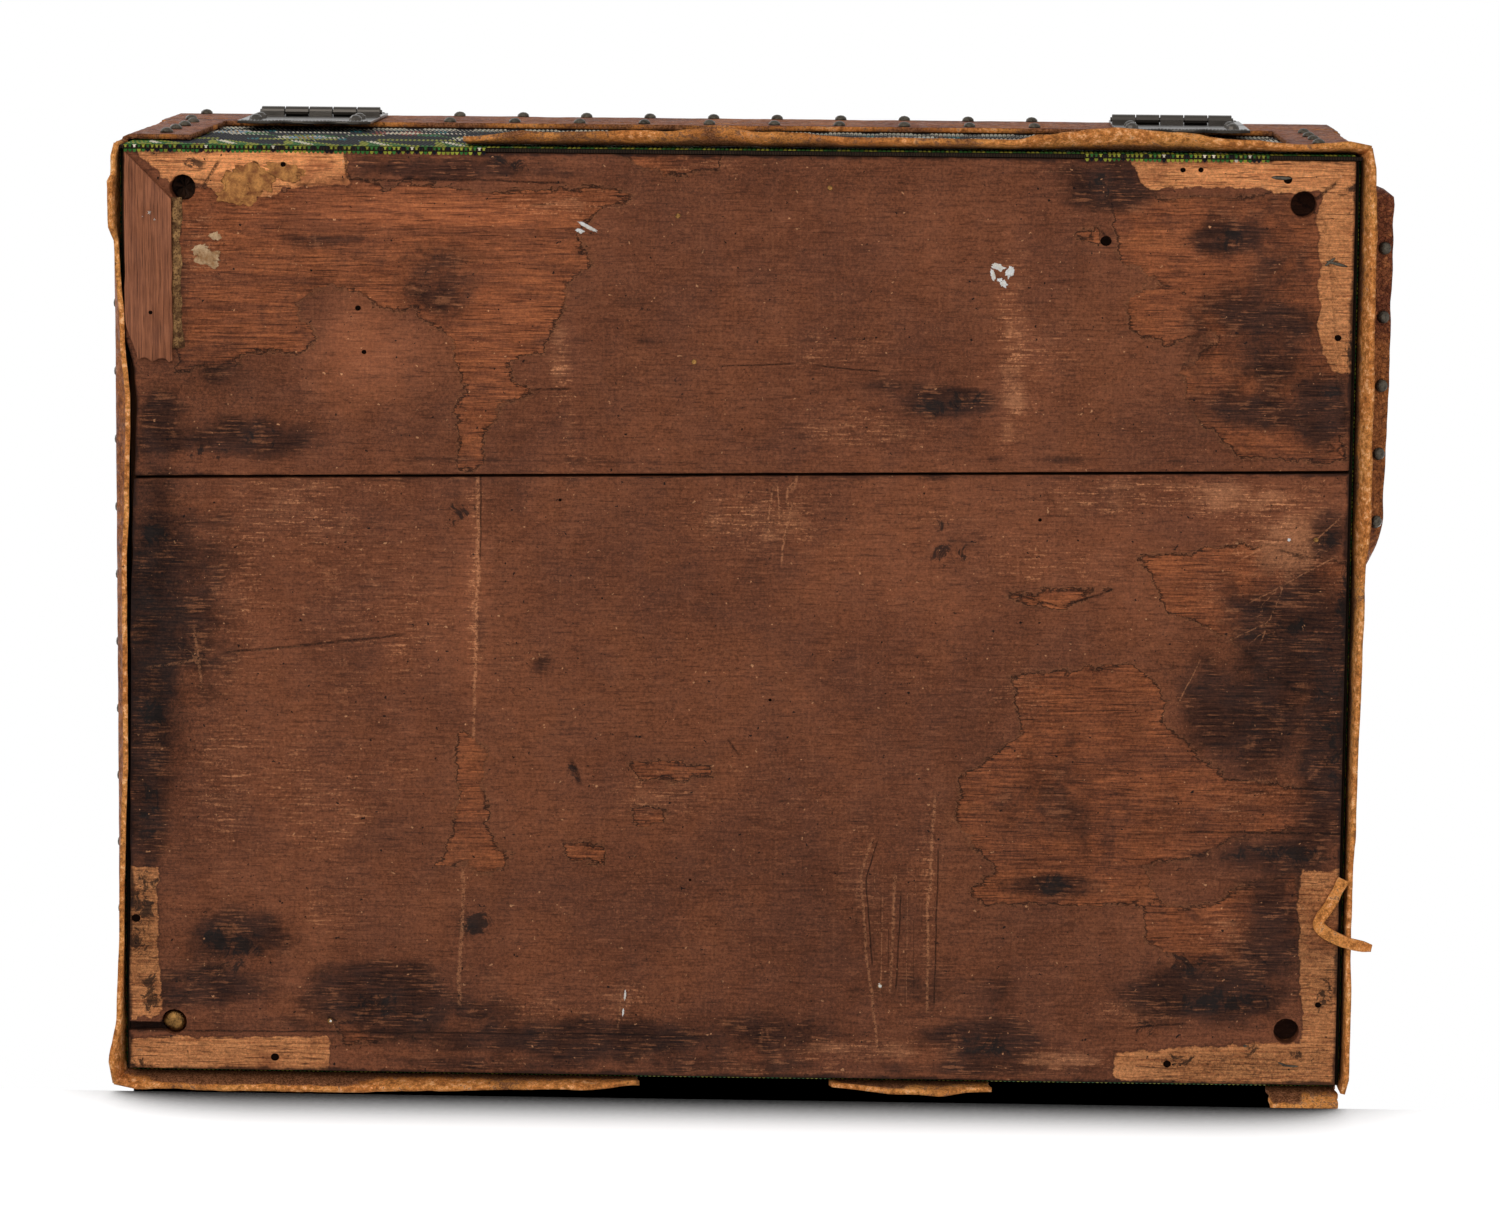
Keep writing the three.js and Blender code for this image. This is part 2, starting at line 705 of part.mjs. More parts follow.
// A hinge leaf in the back side's frame, about the middle of its barrel. It stands up from the axis or hangs
// down from it, reaches past the barrel on its outward end, has a scalloped edge and takes every other knuckle.
function hingeLeaf(upward, outward, height, firstKnuckle) {
  const inner = -barrelLength / 2;
  const outer = barrelLength / 2 + leafOverhang;
  const far = height;
  const shape = new THREE.Shape();
  shape.moveTo(outward * inner, upward * leafSetback);
  shape.lineTo(outward * outer, upward * leafSetback);
  shape.lineTo(outward * outer, upward * (far - leafScallop));
  const third = (outer - inner) / 3;
  for (let i = 0; i < 3; i += 1) {
    const start = outer - i * third;
    shape.quadraticCurveTo(
      outward * (start - third / 2),
      upward * (far + leafScallop),
      outward * (start - third),
      upward * (far - leafScallop),
    );
  }
  shape.closePath();
  const plate = upright(shape, leafInner, leafOuter, 4);

  const pitch = (barrelLength + knuckleGap) / knuckleCount;
  const knuckles = [];
  for (let i = firstKnuckle; i < knuckleCount; i += 2) {
    const start = inner + i * pitch;
    const end = start + pitch - knuckleGap;
    const barrel = new THREE.CylinderGeometry(knuckleRadius, knuckleRadius, end - start, 12);
    knuckles.push(barrel.rotateZ(Math.PI / 2).translate((start + end) / 2, axisOut, 0));
    knuckles.push(block([start, end], [leafInner, axisOut], [0, upward * (leafSetback + leafThick)]));
  }
  const boreRadius = pinRadius + pinClearance;
  const bore = new THREE.CylinderGeometry(boreRadius, boreRadius, barrelLength + 2 * overrun, 12)
    .rotateZ(Math.PI / 2)
    .translate(0, axisOut, 0);
  const columns = [inner + leafTackInset, outer - leafTackInset];
  const lowRow = far - leafScallop - leafTackInset;
  const tacks = columns.flatMap((x) => [lowRow, lowRow - leafTackRise]
    .map((z) => tackAt(outward * x, leafOuter, upward * z)));
  return cut(join(plate, ...knuckles, ...tacks), bore);
}

function makeHinges() {
  const hinges = { left: [hingeLeft, -1], right: [hingeRight, 1] };
  for (const [name, [x, outward]] of Object.entries(hinges)) {
    const bodyLeaf = hingeLeaf(-1, outward, bodyLeafHeight, 0);
    const lidLeaf = hingeLeaf(1, outward, lidLeafHeight, 1);
    add(bodySides.back, `hinge_body_leaf_${name}`, bodyLeaf, patinaFinish()).position.set(x, 0, axisHeight);
    add(lidSides.back, `hinge_lid_leaf_${name}`, lidLeaf, patinaFinish()).position.set(x, 0, axisHeight);
    const pinLength = barrelLength + 2 * pinHead;
    const pin = new THREE.CylinderGeometry(pinRadius, pinRadius, pinLength, 10);
    const mesh = add(bodySides.back, `hinge_pin_${name}`, pin, patinaFinish());
    mesh.rotation.z = Math.PI / 2;
    mesh.position.set(x, axisOut, axisHeight);
  }
}

// The lock: a case let into the front wall, a sliding bolt, and a hook under the lid that the bolt holds down
function makeLock() {
  const across = [lockMiddle - channelWidth / 2, lockMiddle + channelWidth / 2];
  const boltStart = -channelLeft + fitGap;
  const shankLeft = boltStart + boltLength + boltTravel + boltStopGap;
  const shankRight = shankLeft + hookShank;
  const toeEnd = shankLeft - hookToe;
  const slotRight = shankRight + 2 * fitGap;
  const body = block(
    [-lockWidth / 2, lockWidth / 2],
    [-wallThick, -wallThick + lockDepth],
    [bodyHeight - lockHeight, bodyHeight],
  );
  const channel = block(
    [-channelLeft, slotRight],
    across,
    [bodyHeight - channelFloor, bodyHeight - channelRoof],
  );
  const hookSlot = block(
    [toeEnd - hookSwing, slotRight],
    across,
    [bodyHeight - hookSlotDepth, bodyHeight + overrun],
  );
  const keyWell = keyholeCutter(-wallThick + lockDepth - keyDepth, -wallThick + lockDepth + overrun);
  add(bodySides.front, 'lock_case', cut(body, channel, hookSlot, keyWell), brassFinish());

  const boltHeight = channelFloor - channelRoof - 2 * fitGap;
  const bolt = add(
    bodySides.front,
    'lock_bolt',
    new THREE.BoxGeometry(boltLength, boltThick, boltHeight),
    brassFinish(),
  );
  bolt.position.set(
    boltStart + boltLength / 2,
    lockMiddle,
    bodyHeight - channelFloor + fitGap + boltHeight / 2,
  );

  const hook = upright(outline([
    [shankRight, lidBottom + catchPlateThick / 2],
    [shankLeft, lidBottom + catchPlateThick / 2],
    [shankLeft, bodyHeight - channelFloor - fitGap],
    [toeEnd, bodyHeight - channelFloor - fitGap],
    [toeEnd, bodyHeight - hookDepth],
    [shankRight, bodyHeight - hookDepth],
  ]), lockMiddle - hookThick / 2, lockMiddle + hookThick / 2);
  const plate = block(
    [-catchPlateWidth / 2, catchPlateWidth / 2],
    [lockMiddle - catchPlateDepth / 2, lockMiddle + catchPlateDepth / 2],
    [lidBottom, lidBottom + catchPlateThick],
  );
  add(lidSides.front, 'lid_catch', join(plate, hook), brassFinish());

  const shape = new THREE.Shape();
  shape.absellipse(0, 0, keyPlateWidth / 2, keyPlateHeight / 2, 0, 2 * Math.PI);
  const plateMiddle = bodyHeight - rimEdgingWidth - 2 * fitGap - keyPlateHeight / 2;
  const face = beadOuter + fitGap;
  const front = upright(shape, face, face + keyPlateThick, 10).translate(0, 0, plateMiddle);
  const keyPlate = cut(front, keyholeCutter(face - overrun, face + keyPlateThick + overrun));
  add(bodySides.front, 'keyhole_plate', keyPlate, brassFinish());
}

// Paper linings: a floor sheet, a band round the walls and a tray inside the lid
function makeLinings() {
  const halfX = innerHalfWidth - fitGap;
  const halfY = innerHalfDepth - fitGap;
  const floorFrom = boardThick + fitGap;
  const floor = new THREE.BoxGeometry(2 * halfX, 2 * halfY, liningThick);
  add(box, 'floor_lining', floor, paperFinish()).position.z = floorFrom + liningThick / 2;

  const band = outline([[-halfX, -halfY], [halfX, -halfY], [halfX, halfY], [-halfX, halfY]]);
  const innerX = halfX - liningThick;
  const innerY = halfY - liningThick;
  band.holes.push(new THREE.Path([
    new THREE.Vector2(-innerX, -innerY),
    new THREE.Vector2(-innerX, innerY),
    new THREE.Vector2(innerX, innerY),
    new THREE.Vector2(innerX, -innerY),
  ]));
  const bandFrom = floorFrom + liningThick + fitGap;
  add(box, 'wall_lining', slab(band, bandFrom, bodyHeight - liningReveal), paperFinish());

  const trayTop = lidTop - lidBoardThick - fitGap;
  const trayFrom = lidBottom + liningReveal;
  const tray = cut(
    block([-halfX, halfX], [-halfY, halfY], [trayFrom, trayTop]),
    block([-innerX, innerX], [-innerY, innerY], [trayFrom - overrun, trayTop - liningThick]),
  );
  add(lid, 'lid_lining', tray, paperFinish());
}

makeBottom();
makeFootRemains();
makeWalls();
makeBeadPanels();
makeBottomEdging();
makeThong();
makeCornerEdging();
makeRimEdging();
makeLidWood();
makeLidEdging();
makeHinges();
makeLock();
makeLinings();

// The origin is under the middle of the whole object, on the surface that it stands on
root.updateMatrixWorld(true);
const bounds = new THREE.Box3().setFromObject(root, true);
const middle = bounds.getCenter(new THREE.Vector3());
root.position.set(-middle.x, -middle.y, -bounds.min.z);

export default root;
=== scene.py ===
"""An old document box with a hinged lid, covered with beadwork that tacked leather strips edge."""

import math
import random
from functools import reduce

import bmesh
import bpy
import numpy as np
from bpy.props import FloatProperty, FloatVectorProperty, IntProperty, PointerProperty
from mathutils import Matrix, Vector, noise


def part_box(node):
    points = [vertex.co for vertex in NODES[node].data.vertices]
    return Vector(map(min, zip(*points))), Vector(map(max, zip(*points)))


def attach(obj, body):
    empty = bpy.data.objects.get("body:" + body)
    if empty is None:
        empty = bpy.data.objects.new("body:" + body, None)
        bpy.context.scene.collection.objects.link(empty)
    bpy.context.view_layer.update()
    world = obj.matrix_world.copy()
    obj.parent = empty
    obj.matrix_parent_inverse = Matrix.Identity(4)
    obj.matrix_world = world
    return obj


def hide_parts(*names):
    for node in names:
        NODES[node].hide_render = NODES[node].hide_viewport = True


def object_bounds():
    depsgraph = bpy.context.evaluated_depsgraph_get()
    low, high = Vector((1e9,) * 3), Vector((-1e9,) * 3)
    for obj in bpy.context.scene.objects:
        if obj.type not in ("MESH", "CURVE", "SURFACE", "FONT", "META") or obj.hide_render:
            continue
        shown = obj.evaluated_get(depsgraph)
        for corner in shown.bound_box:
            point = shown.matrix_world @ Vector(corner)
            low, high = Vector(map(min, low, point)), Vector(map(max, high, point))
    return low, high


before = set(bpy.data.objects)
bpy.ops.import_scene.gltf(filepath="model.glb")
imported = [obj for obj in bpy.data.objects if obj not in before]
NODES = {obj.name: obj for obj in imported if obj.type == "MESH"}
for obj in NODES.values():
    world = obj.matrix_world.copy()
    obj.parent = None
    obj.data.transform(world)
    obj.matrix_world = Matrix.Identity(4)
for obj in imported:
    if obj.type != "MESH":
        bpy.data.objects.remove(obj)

bl_info = {
    "name": "Beadwork document box",
    "version": (1, 0, 0),
    "blender": (4, 5, 0),
    "location": "View3D > Sidebar > Document box",
    "description": "Builds an old document box with beadwork, leather edging, hinges and lock",
    "category": "Add Mesh",
}

CAD_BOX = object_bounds()
MM = 0.001

# The carcass, read from the frame: the middle of the boards' underside and, in millimetres, how far each side
# stands from it, half of each side's length and heights above the underside
BOARD_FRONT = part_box("bottom_board_front")
BOARD_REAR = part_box("bottom_board_rear")
ORIGIN = Vector((
    (BOARD_FRONT[0][0] + BOARD_FRONT[1][0]) / 2,
    (BOARD_FRONT[0][1] + BOARD_REAR[1][1]) / 2,
    BOARD_FRONT[0][2],
))
HALF_WIDTH = (BOARD_FRONT[1][0] - BOARD_FRONT[0][0]) / 2 / MM
HALF_DEPTH = (BOARD_REAR[1][1] - BOARD_FRONT[0][1]) / 2 / MM
REACH = {"back": HALF_DEPTH, "front": HALF_DEPTH, "left": HALF_WIDTH, "right": HALF_WIDTH}
SPAN = {"back": HALF_WIDTH, "front": HALF_WIDTH, "left": HALF_DEPTH, "right": HALF_DEPTH}
TURN = {"back": 0, "left": 90, "front": 180, "right": -90}
BODY_TOP = (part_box("back_wall")[1][2] - ORIGIN.z) / MM
LID_BOTTOM = (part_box("lid_back_rim")[0][2] - ORIGIN.z) / MM
LID_TOP = (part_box("lid_top_board")[1][2] - ORIGIN.z) / MM
LEATHER_IN = (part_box("rim_edging_back")[0][1] - ORIGIN.y) / MM - HALF_DEPTH
GAP = 0.3

# The photograph's camera, and the size of its picture in pixels
CAMERA_PLACE = Vector((-0.05648, 0.28251, -1.991))
CAMERA_RIGHT = Vector((-0.99956, 0.00849, 0.02834))
CAMERA_UP = Vector((0.01229, 0.9905, 0.13693))
CAMERA_AHEAD = Vector((0.02691, -0.13721, 0.99018))
FOCAL_PIXELS = 5400
PICTURE = (1500, 1212)


def on_boards(px, py):
    """The point of the boards' underside at a pixel of the photograph, in millimetres from its middle."""
    ray = CAMERA_AHEAD + CAMERA_RIGHT * ((px - PICTURE[0] / 2) / FOCAL_PIXELS)
    ray -= CAMERA_UP * ((py - PICTURE[1] / 2) / FOCAL_PIXELS)
    hit = CAMERA_PLACE + ray * ((ORIGIN.z - CAMERA_PLACE.z) / ray.z)
    return (hit.x - ORIGIN.x) / MM, (hit.y - ORIGIN.y) / MM


def on_underside(px, py, z=0.0):
    """The same point in the scene, z millimetres above the underside."""
    x, y = on_boards(px, py)
    return ORIGIN + Vector((x, y, z)) * MM


def at(side, x, out, z):
    """A point in a side's own frame: along the side, out of it and up, in millimetres."""
    point = Vector((x, REACH[side] + out, 0))
    point.rotate(Matrix.Rotation(math.radians(TURN[side]), 3, "Z"))
    return ORIGIN + Vector((point.x, point.y, z)) * MM


def smooth(value, low, high):
    """An eased step from 0 to 1 as the value goes from low to high, either way round."""
    share = min(1, max(0, (value - low) / (high - low)))
    return share * share * (3 - 2 * share)


def share_at(pairs, along):
    """The value at a share of the length, read off (share, value) pairs."""
    for (start, low), (end, high) in zip(pairs, pairs[1:]):
        if along <= end:
            return low + (high - low) * smooth(along, start, end)
    return pairs[-1][1]


def wander(x, y=0.0, z=0.0, pitch=10.0):
    """Smooth noise from -1 to 1, with bumps about pitch millimetres apart."""
    return noise.noise(Vector((x, y, z)) / pitch)


def linear(text):
    """A linear colour from its written hexadecimal form."""
    parts = [int(text[i:i + 2], 16) / 255 for i in (1, 3, 5)]
    return tuple(p / 12.92 if p <= 0.04045 else ((p + 0.055) / 1.055) ** 2.4 for p in parts) + (1.0,)


def colour_setting(name, description, text):
    return FloatVectorProperty(name=name, description=description, subtype="COLOR", size=4, min=0, max=1,
                               default=linear(text))


def length_setting(name, description, default, low, high):
    """A length property, with its values in millimetres."""
    return FloatProperty(name=name, description=description, unit="LENGTH",
                         default=default * MM, min=low * MM, max=high * MM)


class DocumentBoxSizes(bpy.types.PropertyGroup):
    """Sizes of the box's soft and small parts."""

    leather_thickness: length_setting("Leather thickness", "Thickness of the edging", 1.8, 0.5, 3)
    bead_pitch: length_setting("Bead pitch", "Distance from one bead to the next", 1.66, 1, 4)
    bead_relief: length_setting("Bead relief", "How far a bead stands out", 0.55, 0, 1)
    tack_radius: length_setting("Tack radius", "Radius of a tack's head", 2.6, 1, 5)
    tack_height: length_setting("Tack height", "Height of a tack's head", 1.95, 0.5, 3)
    raggedness: length_setting("Raggedness", "How far the leather's cut edges wander", 0.9, 0, 3)
    pattern_seed: IntProperty(name="Pattern seed", description="Seed of the beads' small differences",
                              default=7)


class DocumentBoxColours(bpy.types.PropertyGroup):
    """Colours of the box's finishes."""

    coat: colour_setting("Coat", "Coating of the bottom boards", "#7a472e")
    coat_low: colour_setting("Thin coat", "The coating where it is thin", "#6a3d28")
    bare_wood: colour_setting("Bare wood", "Worn wood of the bottom boards", "#9c5a36")
    pale_wood: colour_setting("Pale wood", "Wood that the feet covered", "#cc8855")
    walnut: colour_setting("Walnut", "Facing strip", "#b4714d")
    inner_wood: colour_setting("Inner wood", "Walls and rims", "#8a5c3a")
    flesh: colour_setting("Flesh side", "Suede side of the leather", "#d98745")
    grain: colour_setting("Grain side", "Polished side of the leather", "#6b3523")
    brass: colour_setting("Brass", "Lock and keyhole plate", "#8f7440")
    patina: colour_setting("Patina", "Hinges and tacks", "#3b3630")
    paper: colour_setting("Paper", "Linings", "#c4b08a")


class DocumentBoxSettings(bpy.types.PropertyGroup):
    """Everything that a user of the box may change."""

    sizes: PointerProperty(type=DocumentBoxSizes)
    colours: PointerProperty(type=DocumentBoxColours)


def sizes():
    return bpy.context.scene.document_box.sizes


def colours():
    return bpy.context.scene.document_box.colours


# Materials


class Finish:
    """Builds the nodes of one material, node group or world. A colour may be given as hexadecimal text."""

    def __init__(self, tree):
        self.tree = tree

    def node(self, kind, inputs=None, **settings):
        made = self.tree.nodes.new(kind)
        for key, value in settings.items():
            setattr(made, key, value)
        for key, value in (inputs or {}).items():
            if isinstance(value, bpy.types.NodeSocket):
                self.tree.links.new(value, made.inputs[key])
            else:
                made.inputs[key].default_value = linear(value) if isinstance(value, str) else value
        return made

    def math(self, operation, *values, clamp=False):
        inputs = dict(enumerate(values))
        return self.node("ShaderNodeMath", inputs, operation=operation, use_clamp=clamp).outputs[0]

    def plus(self, *values):
        return reduce(lambda total, value: self.math("ADD", total, value), values)

    def times(self, *values):
        return reduce(lambda total, value: self.math("MULTIPLY", total, value), values)

    def minus(self, a, b):
        return self.math("SUBTRACT", a, b)

    def centred(self, field, amount):
        """A field round 0.5 moved to zero and multiplied."""
        return self.times(self.minus(field, 0.5), amount)

    def fit(self, value, low, high, to_low=0.0, to_high=1.0):
        inputs = dict(enumerate((value, low, high, to_low, to_high)))
        return self.node("ShaderNodeMapRange", inputs, interpolation_type="SMOOTHSTEP").outputs[0]

    def mix(self, share, a, b, blend="MIX"):
        inputs = {0: share, 6: a, 7: b}
        return self.node("ShaderNodeMix", inputs, data_type="RGBA", blend_type=blend).outputs[2]

    def coats(self, base, *coats):
        """Lays colours over a base, each by a field, its ends unless it is a share, a strength and a colour."""
        for field, *ends, strength, colour in coats:
            share = self.fit(field, *ends) if ends else field
            base = self.mix(self.times(share, strength), base, colour)
        return base

    def brightened(self, base, gain, least):
        """A colour times a gain that stays above its least value."""
        return self.mix(1.0, base, self.math("MAXIMUM", gain, least), blend="MULTIPLY")

    def object_place(self):
        return self.node("ShaderNodeTexCoord").outputs["Object"]

    def clouds(self, vector, scale, detail=4.0, roughness=0.55, distortion=0.0):
        return self.node("ShaderNodeTexNoise", {
            "Vector": vector, "Scale": scale, "Detail": detail, "Roughness": roughness,
            "Distortion": distortion,
        }).outputs[0]

    def drawn(self, vector, scale, detail, roughness=0.55, distortion=0.0, turn=0.0):
        """Clouds with a scale of their own along each axis."""
        moved = self.node("ShaderNodeMapping", {"Vector": vector, "Scale": scale, "Rotation": (0, 0, turn)})
        return self.clouds(moved.outputs[0], 1.0, detail, roughness, distortion)

    def attribute(self, name, output="Fac"):
        return self.node("ShaderNodeAttribute", attribute_name=name).outputs[output]

    def group(self, name, **inputs):
        return self.node("ShaderNodeGroup", inputs, node_tree=bpy.data.node_groups[name]).outputs

    def relief(self, height, distance):
        return self.node("ShaderNodeBump", {"Height": height, "Distance": distance}).outputs[0]

    def surface(self, **inputs):
        named = {key.replace("_", " ").title().replace("Ior", "IOR"): value for key, value in inputs.items()}
        shader = self.node("ShaderNodeBsdfPrincipled", named)
        self.node("ShaderNodeOutputMaterial", {"Surface": shader.outputs[0]})


def new_finish(name):
    """An empty material and the builder of its nodes."""
    material = bpy.data.materials.new(name)
    material.use_nodes = True
    material.node_tree.nodes.clear()
    return material, Finish(material.node_tree)


def new_effect(name, inputs, outputs):
    """An empty node group with a vector, float inputs with their defaults and float outputs."""
    tree = bpy.data.node_groups.new(name, "ShaderNodeTree")
    tree.interface.new_socket(name="Vector", in_out="INPUT", socket_type="NodeSocketVector")
    for key, value in inputs.items():
        socket = tree.interface.new_socket(name=key, in_out="INPUT", socket_type="NodeSocketFloat")
        socket.default_value = value
    for key in outputs:
        tree.interface.new_socket(name=key, in_out="OUTPUT", socket_type="NodeSocketFloat")
    build = Finish(tree)
    return build, build.node("NodeGroupInput").outputs


def make_effects():
    """The effects that several finishes share: wood grain and blotches."""
    build, start = new_effect("wood_grain", {}, ("Grain", "Pores", "Figure"))
    bend = build.drawn(start["Vector"], (4, 14, 14), 2.0)
    shift = build.node("ShaderNodeCombineXYZ", {1: build.times(bend, 0.012)}).outputs[0]
    moved = build.node("ShaderNodeVectorMath", {0: start["Vector"], 1: shift}, operation="ADD").outputs[0]
    fine = build.drawn(moved, (22, 900, 900), 5.0, 0.7)
    broad = build.drawn(moved, (5, 150, 150), 4.0, 0.6)
    build.node("NodeGroupOutput", {
        "Grain": build.fit(build.plus(build.times(fine, 0.55), build.times(broad, 0.45)), 0.33, 0.66),
        "Pores": build.fit(build.drawn(moved, (60, 1900, 1900), 2.0, 0.5), 0.6, 0.7),
        "Figure": build.fit(build.drawn(moved, (2.2, 46, 46), 2.0, 0.5, 0.4), 0.35, 0.65),
    })

    build, start = new_effect("blotches", {"Scale": 20.0}, ("Broad", "Middle", "Fine"))
    fields = {}
    for key, factor, detail in (("Broad", 1.0, 3.0), ("Middle", 4.2, 5.0), ("Fine", 21.0, 6.0)):
        scale = build.times(start["Scale"], factor)
        fields[key] = build.fit(build.clouds(start["Vector"], scale, detail, 0.6), 0.3, 0.7)
    build.node("NodeGroupOutput", fields)


def bottom_board_finish():
    """Stained board: grain, a coat with ragged flaked edges, stains, pale corners and scratches."""
    material, build = new_finish("board_wood")
    place = build.object_place()
    tones = colours()
    plus, times, centred, fit, attribute = build.plus, build.times, build.centred, build.fit, build.attribute
    pores = build.group("wood_grain", Vector=place)["Pores"]
    mottle = build.group("blotches", Vector=place, Scale=16.0)
    ragged = build.clouds(place, 90.0, 7.0, 0.68, 0.6)
    patches = build.clouds(place, 34.0, 5.0, 0.65, 0.4)
    speckle = build.clouds(place, 1000.0, 3.0, 0.8)
    specks = build.clouds(place, 520.0, 2.0, 0.5)
    streaks = build.drawn(place, (55, 1000, 1), 5.0, 0.78)
    wide_streaks = build.drawn(place, (8, 85, 1), 4.0, 0.6)
    threads = build.drawn(place, (900, 30, 1), 3.0, 0.65)
    dashes = build.drawn(place, (95, 1150, 1), 3.0, 0.6, turn=0.01)
    flecks = build.drawn(place, (75, 360, 1), 5.0, 0.76, turn=-0.01)

    bare = build.coats(
        build.mix(fit(streaks, 0.3, 0.68), "#633420", tones.bare_wood),
        (wide_streaks, 0.5, 0.36, 0.45, "#4a2a1e"), (wide_streaks, 0.54, 0.68, 0.35, "#a8643c"),
        (patches, 0.5, 0.64, 0.45, "#6a3d28"), (patches, 0.44, 0.3, 0.55, "#43271d"),
        (pores, 0.8, "#2c150c"), (dashes, 0.41, 0.35, 0.5, "#2c150c"), (flecks, 0.42, 0.35, 0.5, "#3f2217"))
    coat = build.coats(
        build.mix(fit(mottle["Broad"], 0.1, 0.9), tones.coat_low, tones.coat),
        (patches, 0.52, 0.7, 0.16, "#8d5638"), (patches, 0.44, 0.28, 0.22, "#4a2819"),
        (threads, 0.54, 0.7, 0.14, "#9a6242"), (threads, 0.46, 0.32, 0.12, "#40231a"),
        (streaks, 0.45, 0.28, 0.35, "#3b2016"), (dashes, 0.42, 0.36, 0.4, "#2f180f"),
        (flecks, 0.56, 0.62, 0.4, "#8e573b"), (flecks, 0.44, 0.38, 0.4, "#44261a"))

    # The flaked coat, with a dark line of painted shade at the foot of its edge, and lifted flakes that are
    # raised and carry a painted highlight along it
    edge = plus(attribute("flake"), centred(ragged, 11.0), centred(patches, 12.0), centred(streaks, 5.0))
    flaked = fit(edge, -0.14, 0.14)
    rim = times(fit(edge, -0.45, 0.0), fit(edge, 1.0, 0.15), fit(build.clouds(place, 45.0, 2.0), 0.3, 0.48))
    lifted_and_highlight = times(fit(edge, -1.3, -0.25), fit(edge, 0.1, -0.15))

    # Worn places, scratched and rubbed
    wear = attribute("wear")
    scored = fit(plus(wear, centred(patches, 1.2)), 0.1, 0.8, 0.04, 1.0)
    scratched = fit(plus(times(dashes, 0.75), times(speckle, 0.35)), 0.6, 0.68)
    rubbed = plus(times(streaks, 0.45), times(ragged, 0.45), times(wear, 0.28))
    rub_share = build.math("MULTIPLY", wear, 0.8, clamp=True)
    # The coat over the bare wood, with a painted highlight on the lifted flakes, the scratches, the rubs and
    # the line of painted shade along the coat's edge
    surface = build.coats(
        build.mix(flaked, coat, bare), (lifted_and_highlight, 0.35, "#9a6544"), (scored, scratched, "#b87b54"),
        (rubbed, 0.58, 0.72, rub_share, "#a66e4c"), (rim, 0.85, "#1f0e08"))

    # Stains, with rubs through them
    stain = attribute("stain")
    uneven = plus(stain, centred(wide_streaks, 1.0), centred(patches, 1.5), centred(ragged, 0.9),
                  centred(streaks, 0.5))
    stained = times(fit(uneven, 0.08, 0.62), fit(stain, 0.0, 0.22))
    dirty = build.coats(build.mix(fit(streaks, 0.36, 0.64), "#1c0e0a", "#492a1d"),
                        (plus(times(dashes, 0.6), times(ragged, 0.55)), 0.61, 0.69, 0.7, "#8f5a3c"))

    # The pale fields of the lost feet, with a dark line round them
    ghost = plus(attribute("ghost"), centred(ragged, 7.0), centred(patches, 7.0))
    pale = build.coats(
        build.mix(fit(streaks, 0.3, 0.6), "#a05c36", tones.pale_wood),
        (wide_streaks, 0.52, 0.68, 0.5, "#d8935f"), (patches, 0.5, 0.66, 0.65, "#7a4228"),
        (dashes, 0.42, 0.36, 0.7, "#3c2013"), (pores, 0.6, "#4a2815"))

    ink = attribute("ink")
    blotted = plus(ink, centred(build.clouds(place, 150.0, 6.0, 0.75, 1.2), 4.5))
    surface = build.coats(
        surface, (stained, 0.95, dirty), (ghost, -1.2, -0.3, 0.3, "#2a150e"), (ghost, -0.3, 0.3, 0.96, pale),
        (times(fit(blotted, 0.3, 0.7), fit(ink, 0.0, 0.25)), 0.85, "#16110f"))

    for kind, strength, tint in (("light", 0.5, "#b57a54"), ("dark", 0.85, "#1a0b06")):
        away = plus(attribute(kind + "_mark"), centred(patches, 3.0), centred(ragged, 2.0))
        mark = times(fit(build.math("ABSOLUTE", away), 0.9, 0.2), attribute(kind + "_near"))
        mark = times(mark, fit(speckle, 0.4, 0.54))
        surface = build.coats(surface, (mark, strength, tint))

    surface = build.coats(surface, (specks, 0.725, 0.76, 1.0, "#b5805a"),
                          (specks, 0.28, 0.25, 1.0, "#170b08"))
    gain = plus(1.0, attribute("tone"), centred(speckle, 2.3), centred(streaks, 1.0))
    surface = build.brightened(surface, gain, 0.25)
    # Darker near the boards' edges and near black over their sides: dirt along the edges, and painted shade in
    # the joint and behind the edging
    edge_dirt_and_shade = plus(attribute("border"), centred(ragged, 6.0))
    surface = build.coats(surface, (edge_dirt_and_shade, 1.6, 0.0, 0.85, "#1c0e0a"))

    # The dark marks come last in the loop above, and are also cut in
    height = plus(times(fit(streaks, 0.35, 0.65), 0.35), times(build.minus(1.0, flaked), 0.8),
                  times(pores, -0.5), times(mark, -0.8), times(speckle, 0.3), times(lifted_and_highlight, 0.4))
    build.surface(base_color=surface, roughness=fit(mottle["Middle"], 0, 1, 0.6, 0.82),
                  normal=build.relief(height, 0.22 * MM), specular_ior_level=0.14)
    return material


# Scratches on the underside, by the pixels of their two ends and their width in millimetres
LIGHT_MARKS = [
    (144, 667, 200, 660, 0.9), (194, 632, 201, 682, 0.8), (262, 650, 300, 646, 0.6),
    (871, 842, 861, 875, 0.9), (861, 875, 866, 950, 0.8), (866, 950, 878, 1045, 0.8),
    (934, 798, 928, 905, 0.9), (928, 905, 927, 1010, 0.8), (895, 880, 890, 990, 0.9),
    (797, 478, 783, 545, 0.8), (788, 490, 782, 560, 0.6), (773, 488, 768, 520, 0.6),
    (1240, 560, 1300, 530, 0.45), (1255, 600, 1330, 560, 0.45), (1262, 640, 1282, 590, 0.4),
    (1300, 555, 1338, 520, 0.45), (1230, 640, 1270, 622, 0.4), (1180, 700, 1196, 668, 0.4),
    (622, 988, 618, 1026, 0.6), (478, 478, 477, 600, 1.3), (476, 600, 474, 735, 0.9),
    (462, 872, 460, 1000, 1.3),
]
